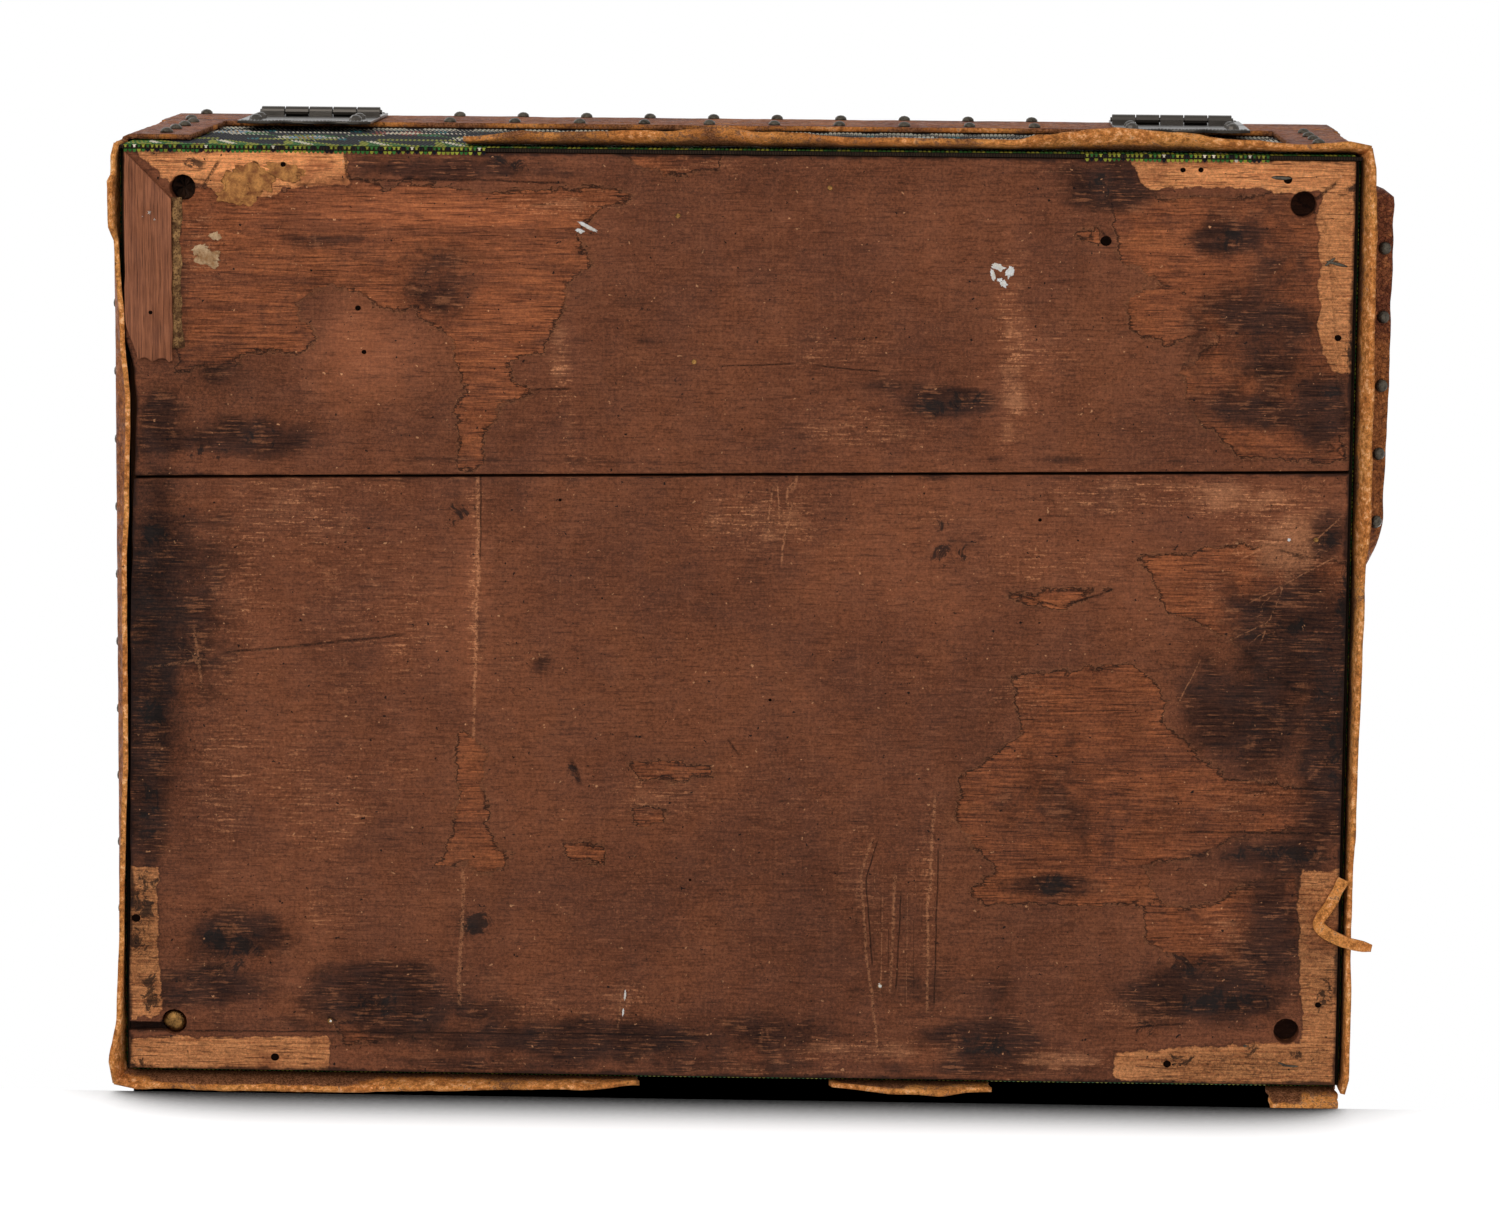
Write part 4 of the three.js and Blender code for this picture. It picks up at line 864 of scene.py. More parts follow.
def band_point(band, x, along, down, ragged):
    """A point of a bottom band's middle surface, at a distance down from its pivot line."""
    half_thickness = sizes().leather_thickness / MM / 2
    middle = LEATHER_IN + half_thickness
    torn_from, torn_to = band["torn"]
    lost = 0.0
    if torn_to:
        lost = LOWER / 2 * (1 - smooth(band["to"] - x, 0, torn_to))
    if torn_from:
        lost = max(lost, LOWER / 2 * (1 - smooth(x - band["from"], 0, torn_from)))
    if band["side"] == "left":
        lost = max(lost, THONG_RAISE * (1 - smooth(abs(x - THONG_MIDDLE), *THONG_CLEARANCE)))
    if down > 0:
        angle = max(math.radians(1), FULL_CURL * share_at(band["curl"], along))
        angle *= 1 + 0.12 * wander(x, 0, 4, 17)
        radius = LOWER / math.sin(min(angle, math.pi / 2)) - half_thickness
        wavy = 1 + ragged * wander(x, 7, 1, 5) * 0.06 * smooth(down, LOWER / 2, LOWER)
        turned = angle * down / LOWER * (1 - lost / LOWER) * wavy
        out = middle + radius * (1 - math.cos(turned)) - share_at(band["tuck"], along) * smooth(down, 3, 13)
        return out, max(BAND_PIVOT - radius * math.sin(turned), half_thickness - LIP_DROP)
    angle = FULL_LEAN * share_at(band["lean"], along)
    up = -down * (1 + 0.03 * ragged * wander(x, 3, 8, 7))
    turned = angle * min(1, up / BAND_FOLD)
    straight = max(0, up - BAND_FOLD)
    radius = BAND_FOLD / angle if angle > 0 else 0
    folded = radius * math.sin(turned) if angle > 0 else min(up, BAND_FOLD)
    out = middle + radius * (1 - math.cos(turned)) + straight * math.sin(turned)
    return out, BAND_PIVOT + folded + straight * math.cos(turned)


def make_band(name):
    """One strip of the bottom edging, curled at its lip and torn at its free end."""
    band = BANDS[name]
    side, first, last = band["side"], band["from"], band["to"]
    upper = BAND_TOP - BAND_PIVOT

    def place(u, v):
        x = first + (last - first) * u
        down = LOWER - (LOWER + upper) * v
        ragged = sizes().raggedness / (0.9 * MM)
        out, height = band_point(band, x, u, down, ragged)
        out += 0.25 * wander(x, height, 2, 9) * (1 if down < 0 else 0.6)
        end_wave = ragged * (1.6 * wander(height, 0, 5, 4) + 0.8 * wander(height, 3, 5, 1.6))
        round_by = 2.5 + 0.45 * max(out, 0)
        for end, way in ((0, -1), (1, 1)):
            if band["mitre"][end]:
                into = way * x - (SPAN[side] + out - round_by)
                if abs(u - end) < 1e-6:
                    into = round_by * math.sqrt(0.5)
                    x = way * (SPAN[side] + out - round_by + into)
                if into > 0:
                    out += math.sqrt(max(0, round_by ** 2 - into ** 2)) - round_by
            elif abs(u - end) < 1e-6:
                x += end_wave
        return at(side, x, out, height)

    def dirt(u, v):
        if v > 0.56:
            return -0.1 + 0.6 * smooth(u, 0.78, 0.84) if side == "left" and u > 0.5 else 0.3
        x = first + (last - first) * u
        grime_and_shade = LIP_DIRT[side] + 0.3 * smooth(v, 0.12, 0.4)
        if side == "back":
            grime_and_shade += 0.12 * smooth(u, 0.4, 0.5)
        # The front strip's first half gets more: its dirt, and a painted shadow from the floor it stands on
        if side == "front":
            grime_and_shade += 0.5 * (1 - smooth(u, 0.4, 0.5)) * smooth(v, 0.04, 0.14) * smooth(u, 0.02, 0.08)
        return grime_and_shade + 0.16 * wander(x, v * 8, 3, 24) + 0.1 * wander(x, v * 20, 3, 5)

    columns = max(12, round((last - first) / 2.4))
    leather_sheet(name.replace("bottom_edging", "edging_strip"), name, "box", columns, 18, place, dirt)


class DOCUMENTBOX_OT_bottom_edging(DocumentBoxOperator, bpy.types.Operator):
    """Makes the curled and torn leather strips round the bottom"""

    bl_idname = "document_box.bottom_edging"
    bl_label = "Bottom edging"

    def build(self):
        for name in BANDS:
            make_band(name)
        make_thong()


# The thong's route: how far out of the left side and how far from its front end, in millimetres
THONG = [(1.4, 79), (-3, 70), (-7.4, 61.5), (1.5, 55.5), (12.4, 53)]


def make_thong():
    """The torn thong: a strap swept along a smooth curve under the left edge, in plan."""
    points = [Vector((-HALF_WIDTH - out, back - HALF_DEPTH, 0)) for out, back in THONG]

    def middle(share):
        length = share * (len(points) - 1)
        i = min(int(length), len(points) - 2)
        rest = length - i
        p0, p1, p2, p3 = (points[max(0, min(len(points) - 1, j))] for j in range(i - 1, i + 3))
        return 0.5 * (2 * p1 + (p2 - p0) * rest + (2 * p0 - 5 * p1 + 4 * p2 - p3) * rest ** 2
                      + (3 * p1 - p0 - 3 * p2 + p3) * rest ** 3)

    def place(u, v):
        ahead = middle(min(1, u + 0.01)) - middle(max(0, u - 0.01))
        aside = Vector((-ahead.y, ahead.x, 0)).normalized()
        width = THONG_WIDTH * (1 + 0.16 * wander(u * 60, 2, 0, 6)) * (1 - 0.35 * smooth(u, 0.9, 1))
        point = middle(u) + aside * (v - 0.5) * width
        point.z = -1.15 + 0.15 * wander(u * 60, v * 4, 6, 6)
        return ORIGIN + point * MM

    leather_sheet("thong", "edge_thong", "box", 72, 6, place, lambda u, v: 0.2, THONG_THICKNESS * MM,
                  turned=False)


# Tacks


def metal_finish(name, colour, rubbed, roughness):
    """Old metal: a base colour, rubbed high spots and dull dirt."""
    material, build = new_finish(name)
    mottle = build.group("blotches", Vector=build.object_place(), Scale=70.0)
    base = build.coats(colour, (mottle["Middle"], 0.6, rubbed), (mottle["Fine"], 0.6, 0.95, 0.6, "#1c1712"))
    build.surface(base_color=base, metallic=1.0, roughness=build.fit(mottle["Middle"], 0, 1, *roughness),
                  normal=build.relief(mottle["Fine"], 0.06 * MM))
    return material


def metal(name):
    """One of the box's metals, made when it is first used."""
    recipes = {
        "tack_metal": (colours().patina, "#6b6356", (0.3, 0.55)),
        "hinge_metal": ("#2b2824", "#6c6860", (0.25, 0.5)),
        "brass": (colours().brass, "#a98d55", (0.28, 0.5)),
        "old_brass": ("#4c341c", "#b08249", (0.2, 0.45)),
    }
    return bpy.data.materials.get(name) or metal_finish(name, *recipes[name])


def add_tack(bm, place, outward, tilt=0.0):
    """A domed head of a few dozen faces, pressed into the face that it stands on."""
    radius, height = sizes().tack_radius, sizes().tack_height
    made = bmesh.ops.create_uvsphere(bm, u_segments=10, v_segments=6, radius=radius)["verts"]
    bmesh.ops.delete(bm, geom=[v for v in made if v.co.z < -radius * 0.55], context="VERTS")
    made = [v for v in made if v.is_valid]
    for vertex in made:
        vertex.co.z = vertex.co.z / radius * height if vertex.co.z > 0 else -0.35 * MM
    turned = Vector((0, 0, 1)).rotation_difference(outward).to_matrix()
    if tilt:
        turned = Matrix.Rotation(tilt, 3, outward.orthogonal()) @ turned
    bmesh.ops.rotate(bm, cent=(0, 0, 0), matrix=turned, verts=made)
    bmesh.ops.translate(bm, vec=place, verts=made)
    return made


def tack_row(name, body, heads):
    """A row of tacks as one piece, from each head's place and outward direction."""
    bm = bmesh.new()
    for i, (place, outward) in enumerate(heads):
        add_tack(bm, place, outward, 0.12 * wander(i * 7.3, 1, len(name), 5))
    open_mesh(bm, name, body, "hinge_metal", metal("tack_metal"))


def side_direction(side):
    """The way out of a side."""
    return Matrix.Rotation(math.radians(TURN[side]), 3, "Z") @ Vector((0, 1, 0))


TACK_PITCH = 25.6


def places_along(first, last):
    """Evenly spaced places, as many as fit, centred between two ends."""
    count = max(1, int((last - first) / TACK_PITCH))
    start = (first + last - (count - 1) * TACK_PITCH) / 2
    return [start + i * TACK_PITCH for i in range(count)]


# Each hinge's middle and the way to its outer end, the barrels' length and how far the leaves reach past them;
# and how far the back's tacks are shifted and stay from the leaves
HINGES = {"left": (60.8 - HALF_WIDTH, -1), "right": (HALF_WIDTH - 57.8, 1)}
BARREL = 47.0
LEAF_OVERHANG = 5.0
BACK_SHIFT = 15.5
TACK_CLEARANCE = 2.9


def upper_places(side, keep_hinges=True):
    """The places of one side's upper tacks: the back's row is shifted and keeps clear of the hinges."""
    row = places_along(-SPAN[side], SPAN[side])
    if side != "back":
        return row
    row = [x + BACK_SHIFT for x in row]
    if not keep_hinges:
        return row
    clear = BARREL / 2 + LEAF_OVERHANG + TACK_CLEARANCE
    return [x for x in row if all(abs(x - middle) > clear for middle, _ in HINGES.values())]


# The leather's middle and outer face, and the widths of the rim's, the lid's and the corners' strips
LEATHER_MIDDLE = LEATHER_IN + 0.9
LEATHER_OUT = LEATHER_IN + 1.8
CORNER_WIDTH = 22
RIM_WIDTH = 15.0
LID_OVER = LID_TOP + LEATHER_OUT
LID_TOP_WIDTH = 18.0
EDGE_TACK_DROP = 6
CORNER_LOW = BAND_TOP + GAP
CORNER_HIGH = BODY_TOP - RIM_WIDTH - 2 * GAP
CORNERS = {"back_right": ("back", "right"), "back_left": ("left", "back"), "front_left": ("front", "left"),
           "front_right": ("right", "front")}


class DOCUMENTBOX_OT_tacks(DocumentBoxOperator, bpy.types.Operator):
    """Makes the rows of domed tacks"""

    bl_idname = "document_box.tacks"
    bl_label = "Tacks"

    def build(self):
        for name, band in BANDS.items():
            heads = []
            for x in places_along(band["from"] + TACK_PITCH / 2, band["to"] - TACK_PITCH / 2):
                along = (x - band["from"]) / (band["to"] - band["from"])
                lean = FULL_LEAN * share_at(band["lean"], along)
                out, height = band_point(band, x, along, -6.0 - 4.0 * smooth(lean, 0.2, 1.0), 0.0)
                direction = side_direction(band["side"]) * math.cos(lean) + Vector((0, 0, -math.sin(lean)))
                heads.append((at(band["side"], x, out, height) + direction * 0.9 * MM, direction))
            tack_row(name.replace("bottom_edging", "bottom_tacks"), "box", heads)
        for side in REACH:
            outward = side_direction(side)
            height = BODY_TOP - GAP - RIM_WIDTH / 2
            rim = [(at(side, x, LEATHER_OUT, height), outward) for x in upper_places(side)]
            tack_row(f"rim_tacks_{side}", "box", rim)
            edge = [(at(side, x, LEATHER_OUT, LID_OVER - EDGE_TACK_DROP), outward) for x in upper_places(side)]
            top = [(at(side, x, -LID_TOP_WIDTH / 2, LID_OVER), Vector((0, 0, 1)))
                   for x in upper_places(side, False) if abs(x) < SPAN[side] - LID_TOP_WIDTH]
            tack_row(f"lid_tacks_{side}", "lid", edge + top)
        for name, (side, next_side) in CORNERS.items():
            heads = []
            for z in places_along(CORNER_LOW, CORNER_HIGH):
                here = at(side, SPAN[side] - CORNER_WIDTH / 2, LEATHER_OUT, z)
                beyond = at(next_side, CORNER_WIDTH / 2 - SPAN[next_side], LEATHER_OUT, z)
                heads += [(here, side_direction(side)), (beyond, side_direction(next_side))]
            tack_row(f"corner_tacks_{name}", "box", heads)


# The upright, rim and lid leather


def fold_point(section, share):
    """A point at a share of the length of a bent line of (out, height) points."""
    lengths = [math.dist(a, b) for a, b in zip(section, section[1:])]
    left = share * sum(lengths)
    for (a, b), length in zip(zip(section, section[1:]), lengths):
        if left <= length + 1e-9:
            rest = left / length if length else 0
            return a[0] + (b[0] - a[0]) * rest, a[1] + (b[1] - a[1]) * rest
        left -= length
    return section[-1]


def rounded_section(section, radius, steps=4):
    """The same bent line with its corners rounded."""
    out = [section[0]]
    for before, corner, after in zip(section, section[1:], section[2:]):
        b, c, a = Vector(before), Vector(corner), Vector(after)
        start = c + (b - c).normalized() * min(radius, (b - c).length / 2)
        end = c + (a - c).normalized() * min(radius, (a - c).length / 2)
        for i in range(steps + 1):
            t = i / steps
            out.append(tuple(start * (1 - t) ** 2 + c * 2 * t * (1 - t) + end * t ** 2))
    out.append(section[-1])
    return out


def edge_strip(name, node, body, side, section, rows, seed):
    """A leather strip along a side, mitred at both ends, with a section of (out, height) points."""
    half = SPAN[side]
    ragged = sizes().raggedness / MM
    path = rounded_section(section, 2.2)

    def place(u, v):
        x = -half + 2 * half * u
        out, height = fold_point(path, v)
        if v < 1e-6 or v > 1 - 1e-6:
            inset = abs(ragged * (wander(x, seed, 1, 9) + 0.5 * wander(x, seed, 4, 2.5)))
            ahead = fold_point(path, 0.02 if v < 0.5 else 0.98)
            line = (Vector(ahead) - Vector((out, height))).normalized() * inset * 0.7
            out, height = out + line.x, height + line.y
        lift = 0.16 * wander(x, v * 30, seed, 14) + 0.08 * wander(x, v * 30, seed + 9, 4)
        if u < 1e-6:
            x = -half - out
        elif u > 1 - 1e-6:
            x = half + out
        if height < LID_OVER - 2.5:
            out += lift
        else:
            height += lift
        return at(side, x, out, height)

    leather_sheet(name, node, body, round(2 * half / 3), rows, place,
                  lambda u, v: 0.3 + 0.4 * wander(u * 2 * half, v * 20, seed, 30))


def corner_strip(name, side, seed):
    """Upright leather over a corner, from the bottom edging to the rim edging."""
    reach, corner = SPAN[side], SPAN[side] + LEATHER_MIDDLE
    section = [(reach - CORNER_WIDTH, LEATHER_MIDDLE), (corner, LEATHER_MIDDLE), (corner, -CORNER_WIDTH)]
    path = rounded_section(section, 3.0, 6)
    ragged = sizes().raggedness / MM

    def place(u, v):
        z = CORNER_LOW + (CORNER_HIGH - CORNER_LOW) * v
        along, out = fold_point(path, u)
        worn = ragged * (2.2 * wander(z, seed, 2, 13) + 1.2 * wander(z, seed, 6, 3.5))
        if u < 1e-6:
            along += worn
        if u > 1 - 1e-6:
            out += worn
        push = 0.25 * wander(z, u * 44, seed, 11)
        if u < 0.5:
            out += push
        else:
            along += push
        return at(side, along, out, z)

    leather_sheet(f"corner_strip_{name}", f"corner_edging_{name}", "box", 26, 44, place,
                  lambda u, v: 0.45 + 0.6 * wander(v * 107, u * 44, seed, 18))


class DOCUMENTBOX_OT_upper_edging(DocumentBoxOperator, bpy.types.Operator):
    """Makes the leather at the corners, round the body's rim and over the lid's edge"""

    bl_idname = "document_box.upper_edging"
    bl_label = "Upper edging"

    def build(self):
        middle = LEATHER_MIDDLE
        top, over = BODY_TOP - GAP, LID_OVER - 0.9
        for seed, side in enumerate(REACH):
            edge_strip(f"rim_strip_{side}", f"rim_edging_{side}", "box", side,
                       [(middle, top - RIM_WIDTH), (middle, top)], 6, seed + 2)
            edge_strip(f"lid_strip_{side}", f"lid_edging_{side}", "lid", side,
                       [(middle, LID_BOTTOM + GAP), (middle, over), (-LID_TOP_WIDTH, over)], 30, seed + 20)
        for seed, (name, (side, _)) in enumerate(CORNERS.items()):
            corner_strip(name, side, seed + 40)


# Beadwork


GROUND, CREAM, GREEN, LEAF, TEAL, SKY, ROSE, AMBER = range(8)
# The panels' depth under the beads' tops, what the leather hides of them, and the rows of the grass border
PANEL_DEPTH = 2.3
UNDER_LEATHER = 6.5
MEADOW = 20
# The share of beads in a wrong colour, and the keyhole's distance below the body's top
STRAY_BEADS = 0.008
KEYHOLE_DROP = 26
# In millimetres: half the gap for the keyhole and its reach down and up, how deep the cloth lies under the
# beads, how far the beads' outer edges are sunk, and how far the lid's beads reach under its leather
KEYHOLE_HALF, KEYHOLE_DOWN, KEYHOLE_UP = 2.6, 8, 3
CLOTH_DEPTH = 0.25
SUNK = 0.4
LID_OVERLAP = 2
# Where leather hides the beads that turn under the back, in millimetres from their start
TURNED_HIDDEN = ((134, 356), (424, 999))
# The left panel's hem, in millimetres: its foot, how far that drops where the strip leans out, its top, how far
# out of the side it lies and its thickness
HEM_FOOT = 25
HEM_DROP = 9
HEM_TOP = 31
HEM_OUT = 3.25
HEM_THICKNESS = 1.5
BEAD_COLOURS = ["#10141c", "#e8ddc4", "#3a7032", "#979a38", "#256f74", "#86a8bc", "#a04a3e", "#b5832e"]


def bead_finish():
    """Glass seed beads in their own colours, with dark thread between them."""
    material, build = new_finish("bead_glass")
    dome = build.attribute("dome")
    mottle = build.group("blotches", Vector=build.object_place(), Scale=22.0)
    base = build.coats(build.attribute("bead_colour", "Color"), (mottle["Broad"], 0.25, "#2a2018"),
                       (dome, 0.3, 0.06, 1.0, "#120d0a"))
    build.surface(base_color=base, roughness=build.fit(dome, 0.1, 0.6, 0.8, 0.5), specular_ior_level=0.06)
    return material


def cloth_finish():
    """Coarse dark backing cloth."""
    material, build = new_finish("backing_cloth")
    place = build.object_place()
    weave = build.node("ShaderNodeTexWave", {"Vector": place, "Scale": 320.0, "Distortion": 1.5}).outputs[0]
    mottle = build.group("blotches", Vector=place, Scale=60.0)
    base = build.coats(build.mix(weave, "#1b1512", "#3a2c20"), (mottle["Middle"], 0.5, "#120d0b"))
    build.surface(base_color=base, roughness=0.95, normal=build.relief(weave, 0.15 * MM),
                  specular_ior_level=0.1)
    return material


def vine_band(columns, rows, period=46):
    """A winding stem with leaves, a flower in every bend and small diamonds, as colour numbers by bead."""
    i, j = np.meshgrid(np.arange(columns), np.arange(rows), indexing="ij")
    x = i - columns / 2 + 0.5
    y = j - rows / 2 + 0.5
    picture = np.full((columns, rows), GROUND)
    swing = rows * 0.24
    turns = np.pi * 2 * x / period
    stem = swing * np.cos(turns)
    cell = np.round(x / (period / 2))
    middle = cell * period / 2
    side = np.where(cell % 2 == 0, -1, 1)
    for step, colour in ((0.25, GREEN), (-0.25, LEAF)):
        leaf_x = middle + step * period / 2
        leaf_y = swing * np.cos(np.pi * 2 * leaf_x / period)
        tilt = 1.0 if step > 0 else -1.0
        across = (x - leaf_x) + tilt * 0.5 * (y - leaf_y)
        along = (y - leaf_y) - tilt * 0.5 * (x - leaf_x)
        leaf = (across / 3.2) ** 2 + ((along - side * 5.5) / 6.5) ** 2 < 1
        picture[leaf] = colour
        picture[leaf & (np.abs(across) < 0.8)] = TEAL
    picture[np.abs(y - stem) < 1.3] = GREEN
    away_x, away_y = x - middle, y + side * swing
    radius = np.hypot(away_x, away_y)
    angle = np.arctan2(away_y, away_x)
    flower = radius < 6.6 + 2.2 * np.cos(5 * angle)
    picture[flower] = np.where(cell % 4 == 0, ROSE, CREAM)[flower]
    picture[flower & (radius < 4.6)] = np.where(cell % 4 == 0, CREAM, SKY)[flower & (radius < 4.6)]
    picture[radius < 2.4] = AMBER
    gem = np.abs(x - middle - period / 4)
    picture[(gem + np.abs(y - rows * 0.36) < 3.2) | (gem + np.abs(y + rows * 0.36) < 3.2)] = TEAL
    return picture


def with_border(picture, meadow=0):
    """Adds toothed rows and a green edge round a pattern, and blades of grass along the bottom."""
    columns, rows = picture.shape
    i, j = np.meshgrid(np.arange(columns), np.arange(rows), indexing="ij")
    depth = np.minimum(np.minimum(i, columns - 1 - i), np.minimum(j, rows - 1 - j))
    along = np.where((j == depth) | (rows - 1 - j == depth), i, j)
    picture = picture.copy()
    picture[depth < 12] = GROUND
    if meadow:
        stalk = np.abs((i + 0.35 * j) % 17 - 8)
        field = (j < meadow) & (depth >= 4)
        picture[field] = GROUND
        picture[field & (stalk < 7 - j * 5 / meadow)] = LEAF
        picture[field & (stalk < 4.5 - j * 4 / meadow)] = GREEN
        picture[field & (stalk < 1)] = CREAM
    picture[depth < 4] = np.where((along // 3) % 2 == 0, GREEN, LEAF)[depth < 4]
    top = (rows - 1 - j == depth) & (depth < 4)
    picture[top] = np.where((along // 4) % 3 < 2, CREAM, GROUND)[top]
    teeth = (depth >= 5) & (depth < 10) & (np.abs((along % 10) - 4.5) < 10 - depth)
    if meadow:
        teeth &= j > meadow
    picture[teeth] = CREAM
    picture[teeth & (depth >= 8)] = TEAL
    picture[(depth == 11) & (j >= (meadow or 0))] = CREAM
    return picture


def medallion(columns, rows):
    """A round flower wreath in the middle, with a vine above and below it, for the lid."""
    picture = np.full((columns, rows), GROUND)
    i, j = np.meshgrid(np.arange(columns), np.arange(rows), indexing="ij")
    x, y = i - columns / 2 + 0.5, j - rows / 2 + 0.5
    band = 50
    picture[:, 13:13 + band] = vine_band(columns, band, 42)
    picture[:, rows - 13 - band:rows - 13] = vine_band(columns, band, 42)[:, ::-1]
    radius, angle = np.hypot(x, y), np.arctan2(y, x)
    disc = radius < 52
    picture[disc] = GROUND
    picture[(radius > 49) & disc] = CREAM
    ring = (radius > 44) & (radius < 47)
    picture[ring] = np.where((angle * 30) % 2 < 1, GREEN, LEAF)[ring]
    wreath = (np.abs(radius - 33) < 5 * np.abs(np.cos(6 * angle))) & disc
    picture[wreath] = np.where(np.cos(12 * angle) > 0, GREEN, TEAL)[wreath]
    bloom = radius < 15 + 5 * np.cos(8 * angle)
    picture[bloom] = ROSE
    picture[radius < 11 + 3 * np.cos(8 * angle)] = CREAM
    picture[radius < 6] = SKY
    picture[radius < 3] = AMBER
    for turn in range(8):
        a = math.pi * 2 * turn / 8 + math.pi / 8
        near = np.abs(x - 22 * math.cos(a)) + np.abs(y - 22 * math.sin(a))
        picture[near < 3.5] = LEAF
    for way in (-1, 1):
        near = np.abs(x - way * columns * 0.36) * 0.8 + np.abs(y)
        picture[near < 21] = GROUND
        picture[(near < 19) & (near > 16)] = CREAM
        picture[near < 14] = TEAL
        picture[near < 9] = SKY
        picture[near < 5] = ROSE
    return picture


def add_beads(piece, picture, corner, across, up, normal, skip=None):
    """Beads as small domes over a flat panel, coloured by a pattern of colour numbers."""
    columns, rows = picture.shape
    pitch = sizes().bead_pitch
    bm = bmesh.new()
    bmesh.ops.create_grid(bm, x_segments=columns, y_segments=rows, size=0.5)
    bmesh.ops.scale(bm, vec=(columns * pitch, rows * pitch, 1), verts=bm.verts)
    bmesh.ops.translate(bm, vec=(columns * pitch / 2, rows * pitch / 2, 0), verts=bm.verts)
    if skip:
        lost = [f for f in bm.faces if skip(f.calc_center_median())]
        bmesh.ops.delete(bm, geom=lost, context="FACES")
    rim = [e for e in bm.edges if e.is_boundary]
    faces = bm.faces[:]
    sunk = bmesh.ops.extrude_edge_only(bm, edges=rim)["geom"]
    sunk = [item for item in sunk if isinstance(item, bmesh.types.BMVert)]
    bmesh.ops.translate(bm, vec=(0, 0, -SUNK * MM), verts=sunk)
    dome = bm.verts.layers.float.new("dome")
    made = bmesh.ops.poke(bm, faces=faces, offset=sizes().bead_relief, center_mode="MEAN",
                          use_relative_offset=False)
    for vertex in made["verts"]:
        vertex[dome] = 1
    turned = Matrix((across, up, normal)).transposed().to_4x4()
    turned.translation = corner
    bmesh.ops.transform(bm, matrix=turned, verts=bm.verts)
    for face in bm.faces:
        face.smooth = True
        face.material_index = 1
    bm.from_mesh(piece.data)
    bm.to_mesh(piece.data)
    bm.free()

    mesh = piece.data
    count = len(mesh.polygons)
    centres, corners, kinds = np.zeros(count * 3), np.zeros(count, dtype=int), np.zeros(count, dtype=int)
    mesh.polygons.foreach_get("center", centres)
    mesh.polygons.foreach_get("loop_total", corners)
    mesh.polygons.foreach_get("material_index", kinds)
    flat = centres.reshape(-1, 3) - np.array(corner)
    i = np.clip((flat @ np.array(across) / pitch).astype(int), 0, columns - 1)
    j = np.clip((flat @ np.array(up) / pitch).astype(int), 0, rows - 1)
    draw = np.random.RandomState(sizes().pattern_seed + columns + rows)
    tone = 0.72 + 0.5 * draw.random_sample((columns, rows))
    stray = draw.random_sample((columns, rows)) < STRAY_BEADS
    mixed = np.where(stray, draw.randint(0, len(BEAD_COLOURS), (columns, rows)), picture)
    palette = np.array([linear(c) for c in BEAD_COLOURS])
    rgba = palette[mixed[i, j]] * tone[i, j][:, None]
    rgba[:, 3] = 1
    layer = mesh.attributes.new("bead_colour", "FLOAT_COLOR", "CORNER")
    layer.data.foreach_set("color", np.repeat(rgba, corners, axis=0).astype(np.float32).ravel())


def backing(node, outward, body, cloth, beads, raise_by=0.0):
    """The cloth behind the beads: a copy of the CAD panel, thinner by the beads' own height."""
    bm = cad_copy(node)
    reach = max(v.co.dot(outward) for v in bm.verts)
    floor = min(v.co.z for v in bm.verts)
    for vertex in bm.verts:
        if vertex.co.dot(outward) > reach - 0.5 * MM:
            vertex.co -= outward * (sizes().bead_relief + CLOTH_DEPTH * MM)
        if vertex.co.z < floor + 1 * MM:
            vertex.co.z += raise_by
    bmesh.ops.triangulate(bm, faces=bm.faces)
    return open_mesh(bm, node.replace("bead_panel", "beadwork"), body, "beadwork", cloth, beads, node=node,
                     shade_smooth=False)


